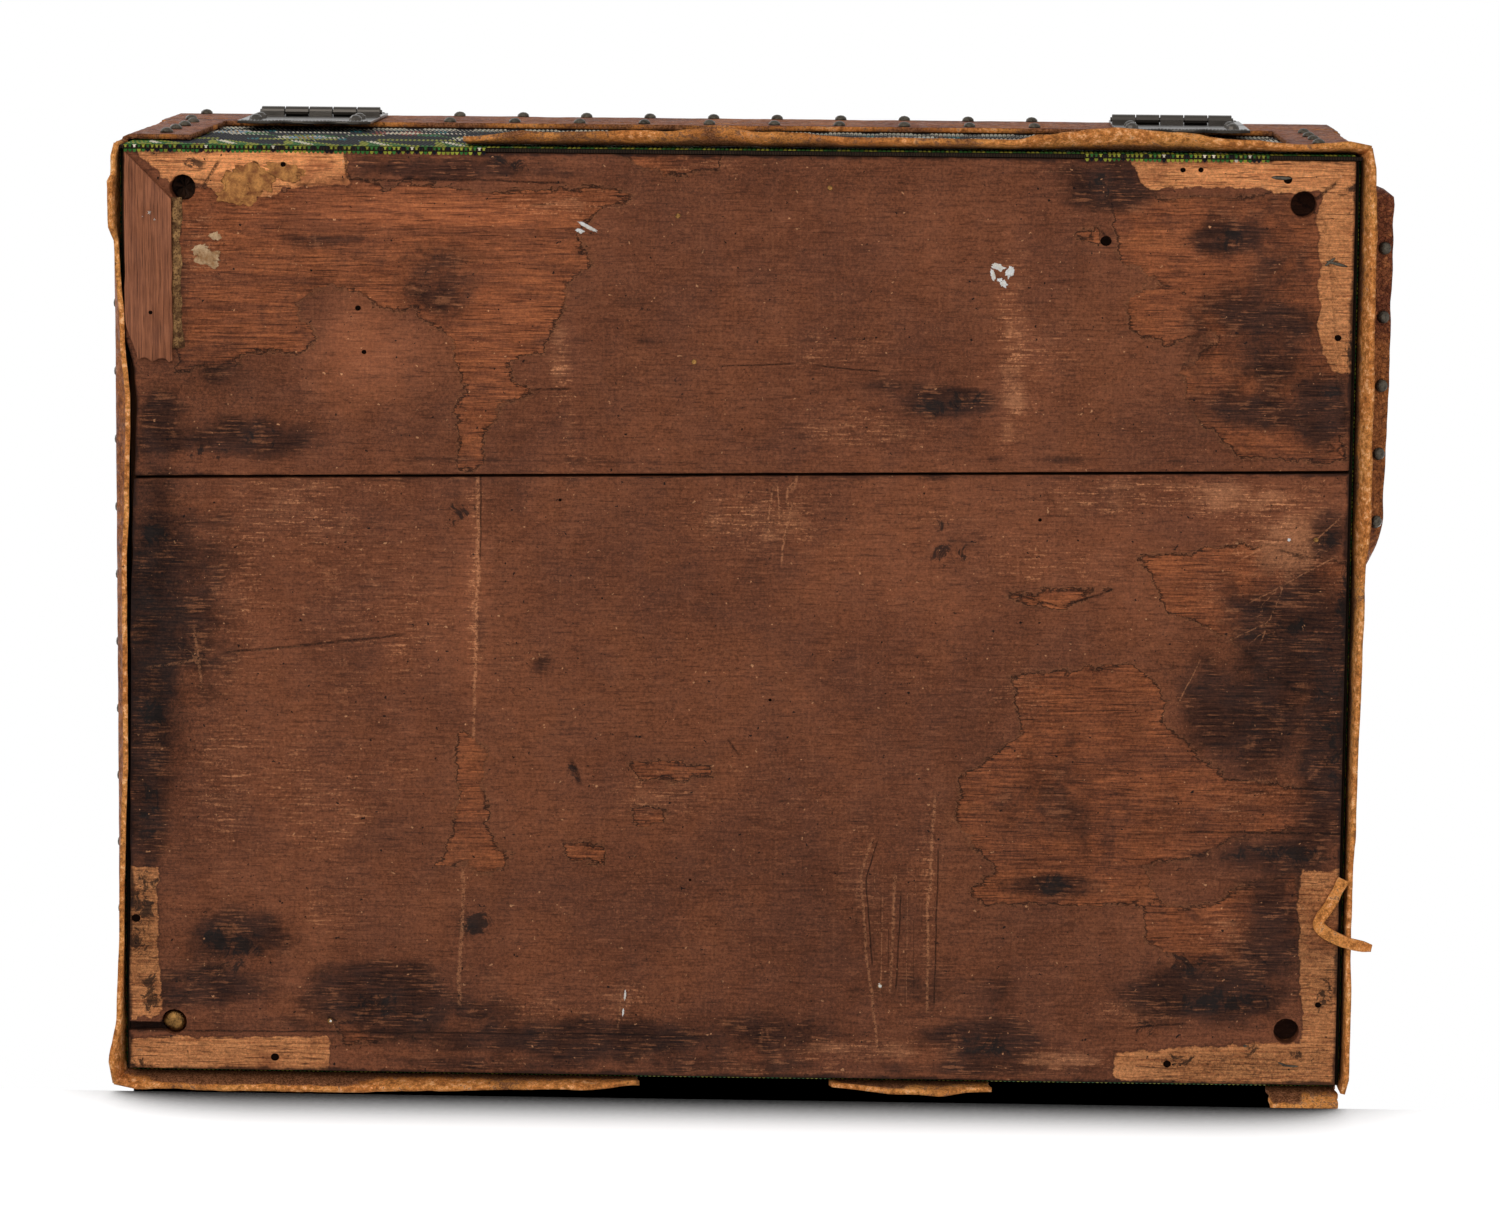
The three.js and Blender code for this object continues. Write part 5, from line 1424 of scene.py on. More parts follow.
class DOCUMENTBOX_OT_beadwork(DocumentBoxOperator, bpy.types.Operator):
    """Makes the beadwork panels"""

    bl_idname = "document_box.beadwork"
    bl_label = "Beadwork"

    def turned_rows(self, cloth, beads, columns, corner, across):
        """The beads that turn under the back panel's lower edge."""
        draw = np.random.RandomState(sizes().pattern_seed)
        rows = draw.choice([LEAF, GREEN, GROUND, CREAM], (columns, 2), p=[0.42, 0.36, 0.18, 0.04])
        piece = open_mesh(bmesh.new(), "beadwork_back_turned", "box", "beadwork", cloth, beads)
        inward = Vector((0, -1, 0))

        def hidden(place):
            return any(start < place.x / MM < end for start, end in TURNED_HIDDEN)

        add_beads(piece, rows, corner - inward * 0.2 * MM, across, inward, Vector((0, 0, -1)), hidden)

    def hem(self, cloth):
        """The turned hem of the left panel, bare where the strip below it leans away. Its dark cloth also
        paints the shade in the gap behind that strip.
        """
        band = BANDS["bottom_edging_left"]

        def place(u, v):
            along = 0.5 + 0.5 * u
            x = band["from"] + (band["to"] - band["from"]) * along
            low = HEM_FOOT - HEM_DROP * smooth(share_at(band["lean"], along), 0, 0.8)
            height = low + (HEM_TOP + 1.5 * wander(x, 5, 5, 7) - low) * v
            return at("left", x, HEM_OUT + 0.15 * wander(x, height, 4, 6), height)

        piece = leather_sheet("beadwork_hem", None, "box", 90, 6, place, thickness=HEM_THICKNESS * MM,
                              slot="beadwork")
        piece.data.materials.clear()
        piece.data.materials.append(cloth)
        wall = piece.modifiers["thickness"]
        wall.material_offset = wall.material_offset_rim = 0

    def build(self):
        beads, cloth = bead_finish(), cloth_finish()
        up = Vector((0, 0, 1))
        pitch = sizes().bead_pitch
        face = PANEL_DEPTH * MM - sizes().bead_relief
        for side in REACH:
            hidden = 0.0 if side == "back" else UNDER_LEATHER
            outward = side_direction(side)
            piece = backing(f"bead_panel_{side}", outward, "box", cloth, beads, hidden * MM)
            low = 0.6 + hidden
            columns = int((2 * SPAN[side] + 1) * MM / pitch)
            rows = int((BODY_TOP - RIM_WIDTH + 1 - low) * MM / pitch)
            across = up.cross(outward)
            half = columns * pitch / 2
            corner = at(side, 0, 0, low) - across * half + outward * face
            skip = None
            if side == "front":
                keyhole = Vector((half, (BODY_TOP - KEYHOLE_DROP - low) * MM))

                def skip(place):
                    x, y = (place.x - keyhole.x) / MM, (place.y - keyhole.y) / MM
                    return abs(x) < KEYHOLE_HALF and -KEYHOLE_DOWN < y < KEYHOLE_UP

            picture = np.full((columns, rows), GROUND)
            picture[:, MEADOW:rows - 10] = vine_band(columns, rows - MEADOW - 10, 40)
            if side == "back":
                self.turned_rows(cloth, beads, columns, corner, across)
                run = np.arange(columns) // 9 % 3 < 2
                picture[run, rows - 24:rows - 21] = CREAM
                picture[~run, rows - 34:rows - 32] = CREAM
                picture[run, MEADOW + 4:MEADOW + 9] = LEAF
            add_beads(piece, with_border(picture, MEADOW), corner, across, up, outward, skip)
        self.hem(cloth)
        piece = backing("bead_panel_lid", up, "lid", cloth, beads)
        columns, rows = (int(2 * (half - LID_TOP_WIDTH + LID_OVERLAP) * MM / pitch)
                         for half in (HALF_WIDTH, HALF_DEPTH))
        corner = ORIGIN + Vector((-columns * pitch / 2, -rows * pitch / 2, LID_TOP * MM + face))
        picture = with_border(medallion(columns, rows))
        add_beads(piece, picture, corner, Vector((1, 0, 0)), Vector((0, 1, 0)), up)


# Wood, metal and paper parts that keep the CAD shape


def plain_wood_finish(name, dark, light, along, spots_share=0.5):
    """Bare or oiled wood with its grain along x or y."""
    material, build = new_finish(name)
    place = build.object_place()
    if along == "y":
        place = build.node("ShaderNodeMapping", {"Vector": place, "Rotation": (0, 0, math.pi / 2)}).outputs[0]
    grain = build.group("wood_grain", Vector=place)
    mottle = build.group("blotches", Vector=place, Scale=14.0)
    darkest = tuple(0.5 * c for c in linear(dark)[:3]) + (1,)
    base = build.coats(
        build.mix(build.fit(build.drawn(place, (40, 1500, 1500), 5.0, 0.78), 0.32, 0.66), dark, light),
        (grain["Figure"], 0.35, dark), (grain["Pores"], 0.7, "#2a150d"),
        (mottle["Middle"], spots_share, darkest))
    height = build.minus(grain["Grain"], grain["Pores"])
    build.surface(base_color=base, roughness=build.fit(mottle["Middle"], 0, 1, 0.6, 0.85),
                  normal=build.relief(height, 0.12 * MM), specular_ior_level=0.2)
    return material


def paper_finish():
    """Old laid paper with foxing and soft creases."""
    material, build = new_finish("lining_paper")
    place = build.object_place()
    mottle = build.group("blotches", Vector=place, Scale=9.0)
    laid = build.node("ShaderNodeTexWave", {"Vector": place, "Scale": 260.0, "Distortion": 0.6}).outputs[0]
    foxing = build.clouds(place, 130.0, 3.0)
    base = build.coats(colours().paper, (mottle["Middle"], 0.6, "#a58c62"),
                       (foxing, 0.66, 0.74, 0.6, "#7a5230"), (mottle["Broad"], 0.3, "#8f7a55"))
    height = build.plus(build.times(laid, 0.15), build.drawn(place, (6, 9, 6), 3.0))
    build.surface(base_color=base, roughness=0.92, normal=build.relief(height, 0.4 * MM),
                  specular_ior_level=0.15)
    return material


def shaped_copy(node, name, body, material, slot, round_by):
    """A CAD node's shape with its edges rounded."""
    bm = cad_copy(node)
    soften(bm, round_by)
    open_mesh(bm, name, body, slot, material, node=node, shade_smooth=False)


class DOCUMENTBOX_OT_carcass(DocumentBoxOperator, bpy.types.Operator):
    """Makes the wooden walls and lid, and finishes the paper linings"""

    bl_idname = "document_box.carcass"
    bl_label = "Walls, lid and linings"

    def build(self):
        light = colours().inner_wood
        woods = {axis: plain_wood_finish(f"carcass_wood_{axis}", "#5d3a22", light, axis) for axis in "xy"}
        for node in ("front_wall", "back_wall", "left_wall", "right_wall", "lid_front_rim", "lid_back_rim",
                     "lid_left_rim", "lid_right_rim", "lid_top_board"):
            body = "lid" if node.startswith("lid") else "box"
            wood = woods["y" if "left" in node or "right" in node else "x"]
            shaped_copy(node, f"wood_{node}", body, wood, "carcass_wood", 0.6)
        paper = paper_finish()
        for node in ("floor_lining", "wall_lining", "lid_lining"):
            NODES[node].data.materials.clear()
            NODES[node].data.materials.append(paper)


# Lock and hinges


PIN_INSET = 3 * MM
PIN_RADIUS = 1.1 * MM


def add_ball(bm, place, radius, stretch, turn=None, segments=12):
    """A stretched and turned ball in a mesh."""
    made = bmesh.ops.create_uvsphere(bm, u_segments=segments, v_segments=segments // 2, radius=radius)
    made = made["verts"]
    bmesh.ops.scale(bm, vec=stretch, verts=made)
    if turn:
        bmesh.ops.rotate(bm, cent=(0, 0, 0), matrix=turn, verts=made)
    bmesh.ops.translate(bm, vec=place, verts=made)


class DOCUMENTBOX_OT_lock(DocumentBoxOperator, bpy.types.Operator):
    """Makes the lock, its bolt, the hook under the lid and the keyhole plate"""

    bl_idname = "document_box.lock"
    bl_label = "Lock"

    def build(self):
        brass = metal("brass")
        bodies = {"lock_case": "box", "lock_bolt": "bolt", "lid_catch": "lid", "keyhole_plate": "box"}
        for node, body in bodies.items():
            shaped_copy(node, f"brass_{node}", body, brass, "brass", 0.25)
        low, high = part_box("keyhole_plate")
        bm = bmesh.new()
        for z in (low[2] + PIN_INSET, high[2] - PIN_INSET):
            add_ball(bm, ((low[0] + high[0]) / 2, low[1], z), PIN_RADIUS, (1, 0.7, 1))
        open_mesh(bm, "keyhole_plate_pins", "box", "brass", brass)


# Each leaf's body, its way up and its height; how far inside it the roped edge lies; and its scallops and tacks
LEAF_HEIGHTS = {"body": ("box", -1, 44), "lid": ("lid", 1, 36)}
LEAF_INSET = 1.8
SCALLOPS = 3
SCALLOP_DEPTH = 4
ROPE_TURNS = 13
LEAF_TACK_INSET = 6.5
LEAF_TACK_PITCH = 15
LEAF_TACK_STRETCH = (1.06, 1.22, 1.06)
# A leaf's thickness, and a roped edge's balls: radius, stretch and turn
LEAF_THICKNESS = 1.1
ROPE_RADIUS = 0.85
ROPE_STRETCH = (0.62, 0.5, 1.25)
ROPE_TURN = math.radians(40)


def leaf_edge(outward, upward, height):
    """Points along the scalloped edge of a hinge leaf, a little inside it: along the leaf, and up."""
    inner, outer = -BARREL / 2, BARREL / 2 + LEAF_OVERHANG
    width = (outer - inner) / SCALLOPS
    points = []
    for i in range(SCALLOPS):
        start = Vector((outer - i * width, height - SCALLOP_DEPTH))
        peak = start + Vector((-width / 2, 2 * SCALLOP_DEPTH))
        end = start - Vector((width, 0))
        for step in range(ROPE_TURNS):
            t = (step + 0.5) / ROPE_TURNS
            point = start * (1 - t) ** 2 + peak * 2 * t * (1 - t) + end * t ** 2
            x = min(max(point.x, inner + LEAF_INSET), outer - LEAF_INSET)
            points.append((outward * x, upward * (point.y - LEAF_INSET)))
    return points


class DOCUMENTBOX_OT_hinges(DocumentBoxOperator, bpy.types.Operator):
    """Makes the two hinges, with roped edges and domed tacks on their leaves"""

    bl_idname = "document_box.hinges"
    bl_label = "Hinges"

    def build(self):
        material = metal("hinge_metal")
        axis_height = (BODY_TOP + LID_BOTTOM) / 2
        face = LEATHER_OUT + GAP + LEAF_THICKNESS
        for name, (middle, outward) in HINGES.items():
            turn = Matrix.Rotation(ROPE_TURN * outward, 3, "Y")
            for leaf, (body, upward, height) in LEAF_HEIGHTS.items():
                bm = cad_copy(f"hinge_{leaf}_leaf_{name}")
                soften(bm, 0.2, 2, 50)
                for x, z in leaf_edge(outward, upward, height):
                    spot = at("back", middle + x, face, axis_height + z)
                    add_ball(bm, spot, ROPE_RADIUS * MM, ROPE_STRETCH, turn, 6)
                row = height - SCALLOP_DEPTH - LEAF_TACK_INSET
                for x in (LEAF_TACK_INSET - BARREL / 2, BARREL / 2 + LEAF_OVERHANG - LEAF_TACK_INSET):
                    for z in (row, row - LEAF_TACK_PITCH):
                        spot = at("back", middle + outward * x, face, axis_height + upward * z)
                        made = add_tack(bm, spot, Vector((0, 1, 0)))
                        bmesh.ops.scale(bm, vec=LEAF_TACK_STRETCH, verts=made,
                                        space=Matrix.Translation(-spot))
                open_mesh(bm, f"hinge_leaf_{leaf}_{name}", body, "hinge_metal", material,
                          node=f"hinge_{leaf}_leaf_{name}", shade_smooth=False)
            shaped_copy(f"hinge_pin_{name}", f"hinge_rod_{name}", "box", material, "hinge_metal", 0.2)


# What is left of the feet, and small things on the underside


CRUST_LUMPS = 0.5
CRUSTS = {
    "orange_glue": ("#8a5230", "#dd9a56", 0.35, 0.6),
    "ridge_glue": ("#4a2d1b", "#c39560", 0.9, 0.8),
    "cream_glue": ("#a3764c", "#e6c39a", 0.3, 0.8),
    "white_paint": ("#efe6d8", "#ffffff", 0.1, 0.8),
}


def crust_finish(name, dark, light, dirt, roughness):
    """Dried glue or paint: lumpy, with darker dirt in its hollows."""
    material, build = new_finish(name)
    mottle = build.group("blotches", Vector=build.object_place(), Scale=70.0)
    base = build.coats(build.mix(mottle["Middle"], dark, light), (mottle["Fine"], 0.55, 0.9, dirt, dark))
    build.surface(base_color=base, roughness=roughness, normal=build.relief(mottle["Fine"], 0.3 * MM),
                  specular_ior_level=0.12)
    return material


def add_crust(bm, px, py, width, depth, height, turn, seed):
    """A flat lump on the boards' underside, placed by a pixel of the photograph, in millimetres."""
    made = bmesh.ops.create_icosphere(bm, subdivisions=4, radius=1.0)["verts"]
    for vertex in made:
        co = vertex.co
        swell = 1 + CRUST_LUMPS * wander(co.x * 6, co.y * 6, co.z * 4 + seed * 9, 4) \
            + CRUST_LUMPS * 0.8 * wander(co.x * 6, co.y * 6, seed * 5, 1.6)
        co.x, co.y = co.x * swell, co.y * swell
        co.z *= 1 + CRUST_LUMPS * wander(co.x * 9, co.y * 9, seed * 3, 1.5)
    bmesh.ops.scale(bm, vec=(width * MM / 2, depth * MM / 2, height * MM), verts=made)
    bmesh.ops.rotate(bm, cent=(0, 0, 0), matrix=Matrix.Rotation(turn, 3, "Z"), verts=made)
    bmesh.ops.translate(bm, vec=on_underside(px, py, 0.1), verts=made)


# Dried lumps by pixel, width, depth, height, turn and seed; tube rivets by pixel; holes by pixel and radius;
# and nails by pixel, length, turn and width
LUMPS = {
    "orange_glue": [
        (241, 186, 14, 13, 0.5, 0.2, 1), (256, 178, 16, 9, 0.4, 0.5, 2), (285, 171, 16, 6, 0.3, 0.1, 3),
        (232, 196, 9, 6, 0.6, 0, 4),
    ],
    "cream_glue": [
        (207, 256, 9, 7, 0.5, 0.3, 5), (199, 249, 6, 3, 0.4, -0.5, 6), (215, 236, 4, 3, 0.3, 0, 7),
        (212, 263, 5, 3.4, 0.35, 0.6, 8),
    ],
    "white_paint": [
        (150, 212, 2.2, 2.6, 2.4, 0, 9), (155, 219, 1.3, 1.8, 2.35, 0, 10), (143, 216, 0.7, 0.7, 2.3, 0, 11),
        (998, 267, 5.4, 2.0, 0.25, 0.3, 12), (1010, 272, 2.6, 4.6, 0.3, 0.3, 13),
        (1004, 284, 3.0, 2.4, 0.25, 0.9, 14), (993, 276, 1.6, 4.4, 0.25, -0.2, 15),
        (1000, 280, 2.0, 1.6, 0.25, 0, 21), (588, 227, 8.0, 1.5, 0.5, 0.45, 22),
        (580, 231, 3.0, 1.5, 0.5, 0.2, 23), (880, 986, 1.6, 1.6, 0.3, 0, 16),
        (331, 1021, 1.1, 1.1, 0.25, 0, 17), (625, 996, 0.8, 3.4, 0.2, 0.1, 18),
        (623, 1012, 0.7, 2.6, 0.2, 0.1, 19), (1289, 540, 1.2, 1.0, 0.2, 0, 20),
    ],
}

RING_PINS = [
    (678, 216), (830, 188), (694, 362), (330, 1021), (1316, 540), (880, 986),
]
NAIL_HOLES = [
    (283, 165, 1.3), (1201, 170, 1.0), (1183, 170, 1.0), (1338, 338, 1.3), (136, 918, 1.7), (275, 1057, 1.6),
    (1167, 1064, 1.5), (1106, 241, 2.1), (1318, 1005, 1.2), (151, 312, 1.0), (364, 352, 0.9),
    (358, 308, 1.1), (1288, 180, 1.6), (1040, 520, 0.7), (770, 700, 0.6), (560, 500, 0.6), (690, 880, 0.5),
]
STAPLES = [
    (1337, 264, 8.5, 0.25, 1.3), (1330, 262, 5.0, -0.7, 1.1), (1290, 1066, 6.5, 0.05, 0.9),
    (1282, 1064, 3.5, 0.3, 0.8), (1245, 1046, 1.6, 0, 1.0), (1282, 178, 8.0, 0.05, 1.6),
]

# In millimetres: the facing's broken end and how much narrower it is there, its thickness below the boards, and
# the glue ridge's start, length and width
BROKEN_END = 6
NARROWER = 4.6
FACING_DROP = 1.95
RIDGE_START = 17
RIDGE_LENGTH = 56
RIDGE_WIDTH = 3.6
# The least and greatest depth of the broken dowel's splinters
SPLINTERS = (1.0, 6.5)
# The stud's ball and shank, by the heights of their middles above its lowest point, and the shank's length
STUD_MIDDLE = 3.1
SHANK_MIDDLE = 6.2
SHANK_LENGTH = 6


class DOCUMENTBOX_OT_remains(DocumentBoxOperator, bpy.types.Operator):
    """Makes the foot remains, the dried glue, the paint drops, the pins and the nails on the underside"""

    bl_idname = "document_box.remains"
    bl_label = "Foot remains and marks"

    def facing(self):
        """The last facing strip of the feet, broken and tapered at its front end."""
        material = plain_wood_finish("walnut", "#6a3d2a", colours().walnut, "y", 0.25)
        bm = cad_copy("foot_facing")
        soften(bm, 0.35)
        low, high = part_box("foot_facing")
        cut_slices(bm, low, high, 1, 40)
        cut_slices(bm, low, high, 0, 10)
        for vertex in bm.verts:
            co = vertex.co
            x, y = co.x / MM, co.y / MM
            end = 1 - smooth(co.y, low[1], low[1] + BROKEN_END * MM)
            co.y += (2.2 * wander(x, 3, 1, 5) + 1.2 * wander(x, 5, 2, 1.7) + 1.2) * MM * end
            taper = 1 - smooth(co.y, low[1], low[1] + 0.2 * (high[1] - low[1]))
            share = (co.x - low[0]) / (high[0] - low[0])
            co.x -= NARROWER * MM * taper * share
            if share < 0.1 or share > 0.9:
                co.x += 0.35 * wander(y, share, 4, 6) * MM
            if co.z < low[2] + 0.5 * MM:
                co.z += (0.14 + 0.14 * wander(x, y / 6, 8, 3)) * MM
        open_mesh(bm, "facing_strip", "box", "walnut", material, node="foot_facing", shade_smooth=False)

    def glue_ridge(self, material):
        """Glue that was squeezed out along the facing strip."""
        low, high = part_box("foot_facing")
        bm = bmesh.new()
        bmesh.ops.create_grid(bm, x_segments=8, y_segments=110, size=0.5)
        for vertex in bm.verts:
            share, along = vertex.co.x + 0.5, vertex.co.y + 0.5
            y = high[1] / MM - (RIDGE_START + RIDGE_LENGTH * along)
            width = RIDGE_WIDTH + 1.6 * wander(y, 1, 1, 9) + 0.8 * wander(y, 4, 1, 2.5)
            hump = math.sin(math.pi * min(1, share * 1.15 + 0.12)) * (0.9 + 0.6 * wander(y, share * 3, 2, 3))
            x = low[0] / MM + 0.2 - share * width
            vertex.co = Vector((x, y, ORIGIN.z / MM - max(0.02, hump))) * MM
        bmesh.ops.reverse_faces(bm, faces=bm.faces)
        piece = open_mesh(bm, "glue_ridge", "box", "board_wood", material)
        wall = piece.modifiers.new("thickness", "SOLIDIFY")
        wall.thickness = 0.4 * MM
        wall.offset = -1

    def feet(self):
        """The brass stud and the broken dowel in two of the foot sockets."""
        low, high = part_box("foot_stud")
        middle = Vector(((low[0] + high[0]) / 2, (low[1] + high[1]) / 2, low[2]))
        radius = (high[0] - low[0]) / 2
        bm = bmesh.new()
        made = bmesh.ops.create_uvsphere(bm, u_segments=28, v_segments=16, radius=radius)["verts"]
        for vertex in made:
            vertex.co.z *= 0.55 if vertex.co.z < 0 else 1.2
            bent = wander(vertex.co.x / MM * 2, vertex.co.y / MM * 2, 3, 5)
            vertex.co += vertex.co.normalized() * 0.18 * MM * bent
        bmesh.ops.translate(bm, vec=middle + Vector((0, 0, STUD_MIDDLE * MM)), verts=made)
        bmesh.ops.create_cone(bm, cap_ends=True, segments=24, radius1=radius, radius2=radius,
                              depth=SHANK_LENGTH * MM,
                              matrix=Matrix.Translation(middle + Vector((0, 0, SHANK_MIDDLE * MM))))
        open_mesh(bm, "stud", "box", "brass", metal("old_brass"), node="foot_stud")

        bm = cad_copy("foot_dowel_stub")
        floor = min(v.co.z for v in bm.verts)
        bottom = [f for f in bm.faces if all(v.co.z < floor + 0.1 * MM for v in f.verts)]
        for _ in range(2):
            bottom = bmesh.ops.poke(bm, faces=bottom)["faces"]
        # The splinters are drawn in order of place, because a set's own order changes from run to run
        draw = random.Random(sizes().pattern_seed)
        ends = {vertex for face in bottom for vertex in face.verts}
        for vertex in sorted(ends, key=lambda v: (round(v.co.x / MM, 2), round(v.co.y / MM, 2))):
            vertex.co.z += draw.uniform(*SPLINTERS) * MM
        # The stub's near-black wood also paints the shade deep in its socket
        wood = plain_wood_finish("dowel_wood", "#160c07", "#4a2d18", "y", 0.8)
        open_mesh(bm, "dowel_stub", "box", "carcass_wood", wood, node="foot_dowel_stub", shade_smooth=False)

    def ring_pins(self):
        """Small tube rivets."""
        bm = bmesh.new()
        for px, py in RING_PINS:
            bmesh.ops.create_cone(bm, cap_ends=True, segments=14, radius1=0.85 * MM, radius2=1.0 * MM,
                                  depth=0.4 * MM, matrix=Matrix.Translation(on_underside(px, py, -0.05)))
        rings = [f for f in bm.faces if f.normal.z < -0.9]
        bmesh.ops.inset_region(bm, faces=rings, thickness=0.35 * MM, depth=-0.25 * MM)
        open_mesh(bm, "ring_pins", "box", "brass", metal("old_brass"))

    def nails(self):
        """The old nails, and near-black discs that paint the shade of nail and worm holes."""
        bm = bmesh.new()
        for px, py, length, turn, width in STAPLES:
            add_ball(bm, on_underside(px, py, 0.1), 1 * MM, (length / 2, width / 2, 0.55),
                     Matrix.Rotation(turn, 3, "Z"))
        open_mesh(bm, "old_nails", "box", "hinge_metal", metal("tack_metal"))
        # Near black: painted shade of holes that are not cut into the boards
        material, build = new_finish("hole_painted_shade")
        tint = build.mix(build.clouds(build.object_place(), 900.0), "#0a0605", "#1b100b")
        build.surface(base_color=tint, roughness=1.0, specular_ior_level=0.0)
        bm = bmesh.new()
        for px, py, size in NAIL_HOLES:
            on_facing = px < 165 and 150 < py < 350
            z = -FACING_DROP if on_facing else 0
            add_ball(bm, on_underside(px, py, z), size * MM, (1, 0.9, 0.16))
        open_mesh(bm, "nail_holes", "box", "board_wood", material)

    def build(self):
        crusts = {name: crust_finish(name, *recipe) for name, recipe in CRUSTS.items()}
        self.facing()
        self.glue_ridge(crusts["ridge_glue"])
        self.feet()
        for name, lumps in LUMPS.items():
            bm = bmesh.new()
            for lump in lumps:
                add_crust(bm, *lump)
            open_mesh(bm, f"lumps_of_{name}", "box", "board_wood", crusts[name])
        self.ring_pins()
        self.nails()


# Stage


# The camera's sensor width, in millimetres
SENSOR = 36
SHADOW_REACH = 0.08
FLOOR_GREY = 0.85
FLOOR_GLOW = 0.85
ROOM_LIGHT = 0.42
# Each lamp's name, place, aim, size and power
LAMPS = [
    ("below_key", (0.7, 0.9, -1.7), (0, 0, 0), (1.2, 1.2), 13),
    ("below_fill", (-0.9, 0.1, -1.6), (0, 0, 0), (1.2, 1.2), 5.5),
    ("above_key", (-0.8, -1.0, 1.7), (0, 0, 0.1), (1.2, 1.2), 15),
    ("above_fill", (1.2, 0.6, 1.4), (0, 0, 0.1), (1.4, 1.4), 8),
]


def make_floor(name, middle, turn, size, dark=False):
    """A floor that only the camera sees, from one side: pale with the object's shadow, or all dark as painted
    shade.
    """
    bm = bmesh.new()
    bmesh.ops.create_grid(bm, x_segments=1, y_segments=1, size=0.5)
    bmesh.ops.scale(bm, vec=(size[0], size[1], 1), verts=bm.verts)
    bmesh.ops.rotate(bm, cent=(0, 0, 0), matrix=Matrix.Rotation(math.radians(turn), 3, "X"), verts=bm.verts)
    bmesh.ops.translate(bm, vec=middle, verts=bm.verts)
    material, build = new_finish(name)
    shade = build.node("ShaderNodeAmbientOcclusion", {"Distance": SHADOW_REACH}, samples=24).outputs["AO"]
    # A dark floor is a black sheet of painted shade
    tint = build.mix(0 if dark else build.fit(shade, 0.5, 0.97), (0, 0, 0, 1), (*[FLOOR_GREY] * 3, 1))
    paint = build.node("ShaderNodeBsdfDiffuse", {"Color": tint}).outputs[0]
    glow = build.node("ShaderNodeEmission", {"Color": tint, "Strength": FLOOR_GLOW}).outputs[0]
    seen = build.node("ShaderNodeAddShader", {0: paint, 1: glow}).outputs[0]
    unseen = build.node("ShaderNodeBsdfTransparent").outputs[0]
    behind = build.node("ShaderNodeNewGeometry").outputs["Backfacing"]
    one_sided = build.node("ShaderNodeMixShader", {0: behind, 1: seen, 2: unseen}).outputs[0]
    build.node("ShaderNodeOutputMaterial", {"Surface": one_sided})
    mesh = bpy.data.meshes.new(name)
    bm.to_mesh(mesh)
    bm.free()
    mesh.materials.append(material)
    floor = bpy.data.objects.new(name, mesh)
    bpy.context.scene.collection.objects.link(floor)
    for rays in ("diffuse", "glossy", "transmission", "shadow"):
        setattr(floor, f"visible_{rays}", False)


def make_lamp(name, place, aim, size, energy):
    """A soft lamp that shines at a point."""
    lamp = bpy.data.lights.new(name, "AREA")
    lamp.shape = "RECTANGLE"
    lamp.size, lamp.size_y = size
    lamp.energy = energy
    holder = bpy.data.objects.new(name, lamp)
    holder.location = place
    holder.rotation_mode = "QUATERNION"
    holder.rotation_quaternion = (Vector(aim) - Vector(place)).to_track_quat("-Z", "Y")
    bpy.context.scene.collection.objects.link(holder)


def make_camera():
    """The camera that took the photograph."""
    camera = bpy.data.objects.new("photo_camera", bpy.data.cameras.new("photo_camera"))
    camera.data.sensor_width = SENSOR
    camera.data.lens = FOCAL_PIXELS / PICTURE[0] * SENSOR
    camera.data.clip_start, camera.data.clip_end = 0.05, 50
    camera.rotation_mode = "QUATERNION"
    camera.location = CAMERA_PLACE
    axes = CAMERA_RIGHT.normalized(), CAMERA_UP.normalized(), -CAMERA_AHEAD.normalized()
    camera.rotation_quaternion = Matrix(axes).transposed().to_quaternion()
    bpy.context.scene.collection.objects.link(camera)
    bpy.context.scene.camera = camera


def make_world():
    """A white room that lights the box more softly than it looks to the camera and in reflections."""
    world = bpy.data.worlds.new("white_room")
    bpy.context.scene.world = world
    world.use_nodes = True
    world.node_tree.nodes.clear()
    build = Finish(world.node_tree)
    rays = build.node("ShaderNodeLightPath").outputs
    bent = build.math("MAXIMUM", rays["Is Glossy Ray"], rays["Is Transmission Ray"])
    room, white = (build.node("ShaderNodeBackground", {"Color": "#ffffff", "Strength": strength}).outputs[0]
                   for strength in (ROOM_LIGHT, 1.0))
    seen = build.math("MAXIMUM", rays["Is Camera Ray"], bent)
    both = build.node("ShaderNodeMixShader", {0: seen, 1: room, 2: white}).outputs[0]
    build.node("ShaderNodeOutputWorld", {"Surface": both})


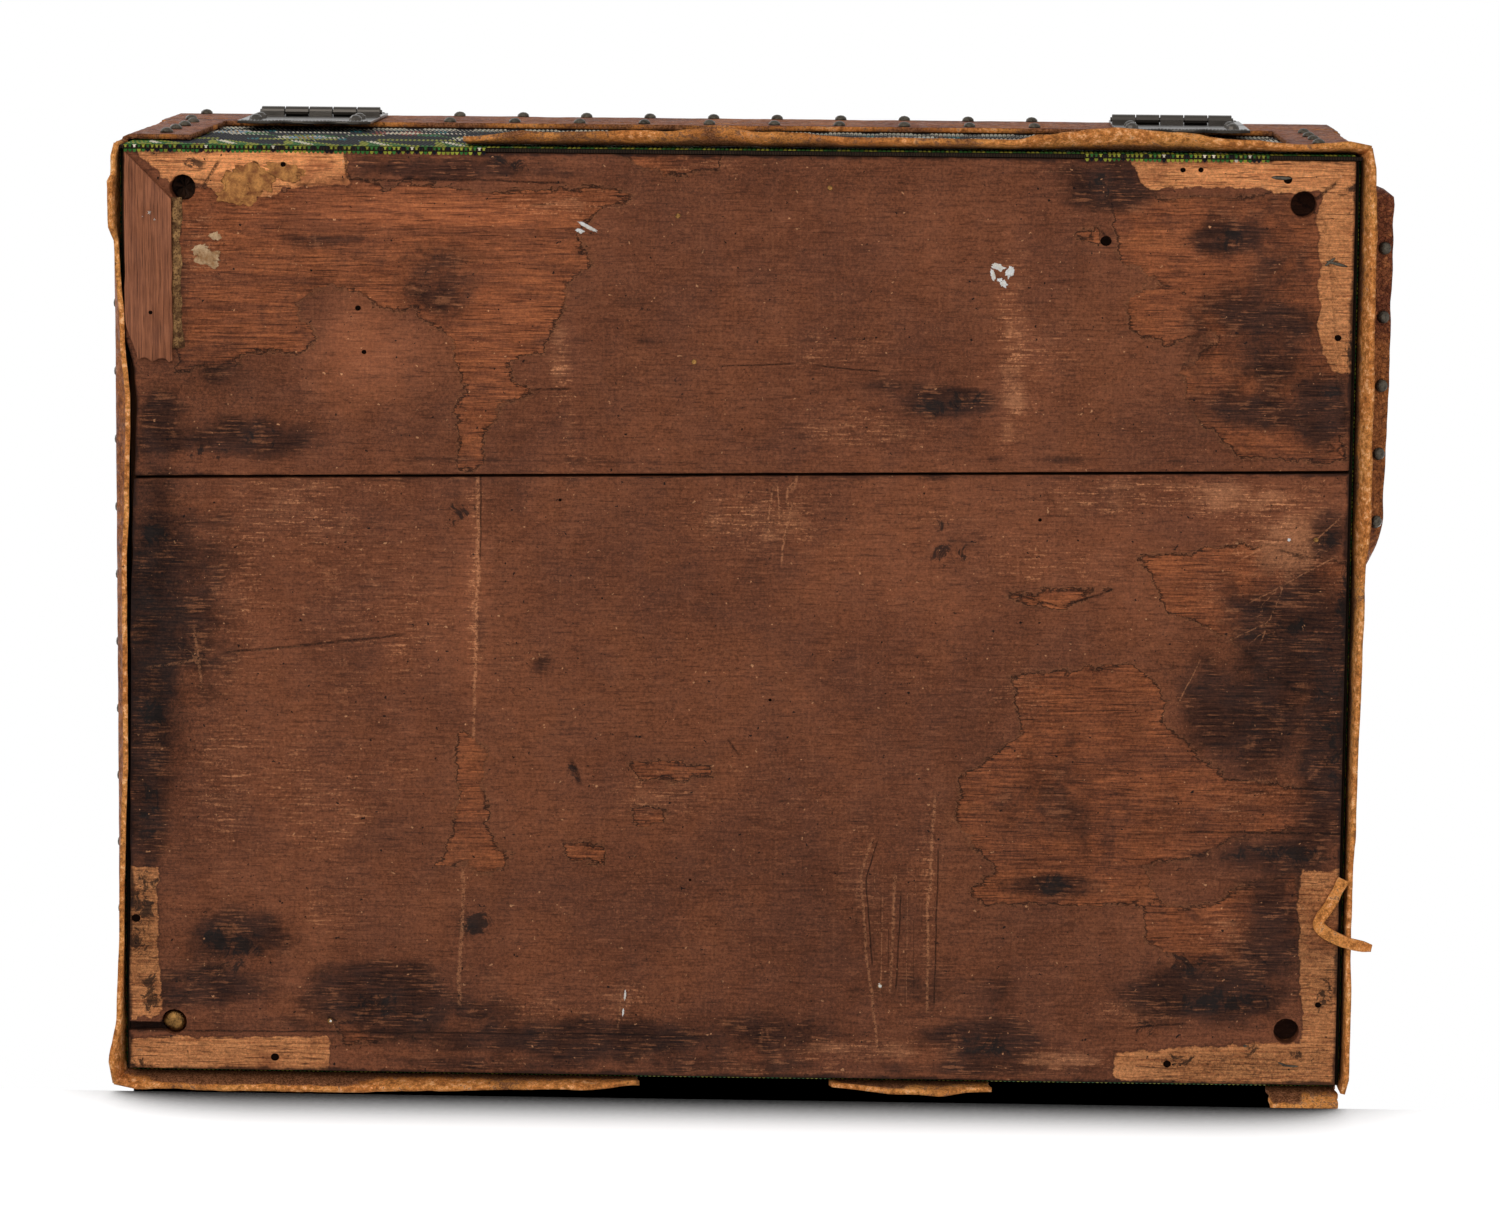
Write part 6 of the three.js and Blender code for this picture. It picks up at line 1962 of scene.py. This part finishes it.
class DOCUMENTBOX_OT_stage(DocumentBoxOperator, bpy.types.Operator):
    """Makes the pale floors, the soft lamps and the camera"""

    bl_idname = "document_box.stage"
    bl_label = "Stage"

    def build(self):
        # The table under the upright box, the floor that its front stands on in the photograph, and a black
        # sheet that paints the shadow in the gap between that floor and the front
        front = CAD_BOX[0][1]
        make_floor("table", (0, 0, -0.2 * MM), 0, (6, 6))
        make_floor("photo_floor", (0, front + 3.4 * MM, -1.6), -90, (6, 3.2))
        make_floor("photo_floor_painted_shadow", (9.5 * MM, front + 4.7 * MM, 12 * MM), 180, (443 * MM, 12.6 * MM), True)
        make_world()
        for lamp in LAMPS:
            make_lamp(*lamp)
        make_camera()
        bpy.context.scene.view_settings.view_transform = "Standard"


class DOCUMENTBOX_PT_panel(bpy.types.Panel):
    """The box's sizes, colours and steps"""

    bl_idname = "DOCUMENTBOX_PT_panel"
    bl_label = "Document box"
    bl_space_type = "VIEW_3D"
    bl_region_type = "UI"
    bl_category = "Document box"

    def draw(self, context):
        layout = self.layout
        settings = context.scene.document_box
        for group in (settings.sizes, settings.colours):
            column = layout.column(align=True)
            for name in group.__annotations__:
                column.prop(group, name)
        for step in STEPS:
            layout.operator(step.bl_idname)


STEPS = [
    DOCUMENTBOX_OT_boards,
    DOCUMENTBOX_OT_bottom_edging,
    DOCUMENTBOX_OT_upper_edging,
    DOCUMENTBOX_OT_tacks,
    DOCUMENTBOX_OT_beadwork,
    DOCUMENTBOX_OT_carcass,
    DOCUMENTBOX_OT_lock,
    DOCUMENTBOX_OT_hinges,
    DOCUMENTBOX_OT_remains,
    DOCUMENTBOX_OT_stage,
]
CLASSES = [DocumentBoxSizes, DocumentBoxColours, DocumentBoxSettings, *STEPS, DOCUMENTBOX_PT_panel]


def register():
    for made in CLASSES:
        bpy.utils.register_class(made)
    bpy.types.Scene.document_box = PointerProperty(type=DocumentBoxSettings)


def unregister():
    del bpy.types.Scene.document_box
    for made in reversed(CLASSES):
        bpy.utils.unregister_class(made)


def main():
    """Builds the box and its stage."""
    register()
    make_effects()
    for step in STEPS:
        name = step.bl_idname.split(".")[1]
        getattr(bpy.ops.document_box, name)()


if __name__ == "__main__":
    main()
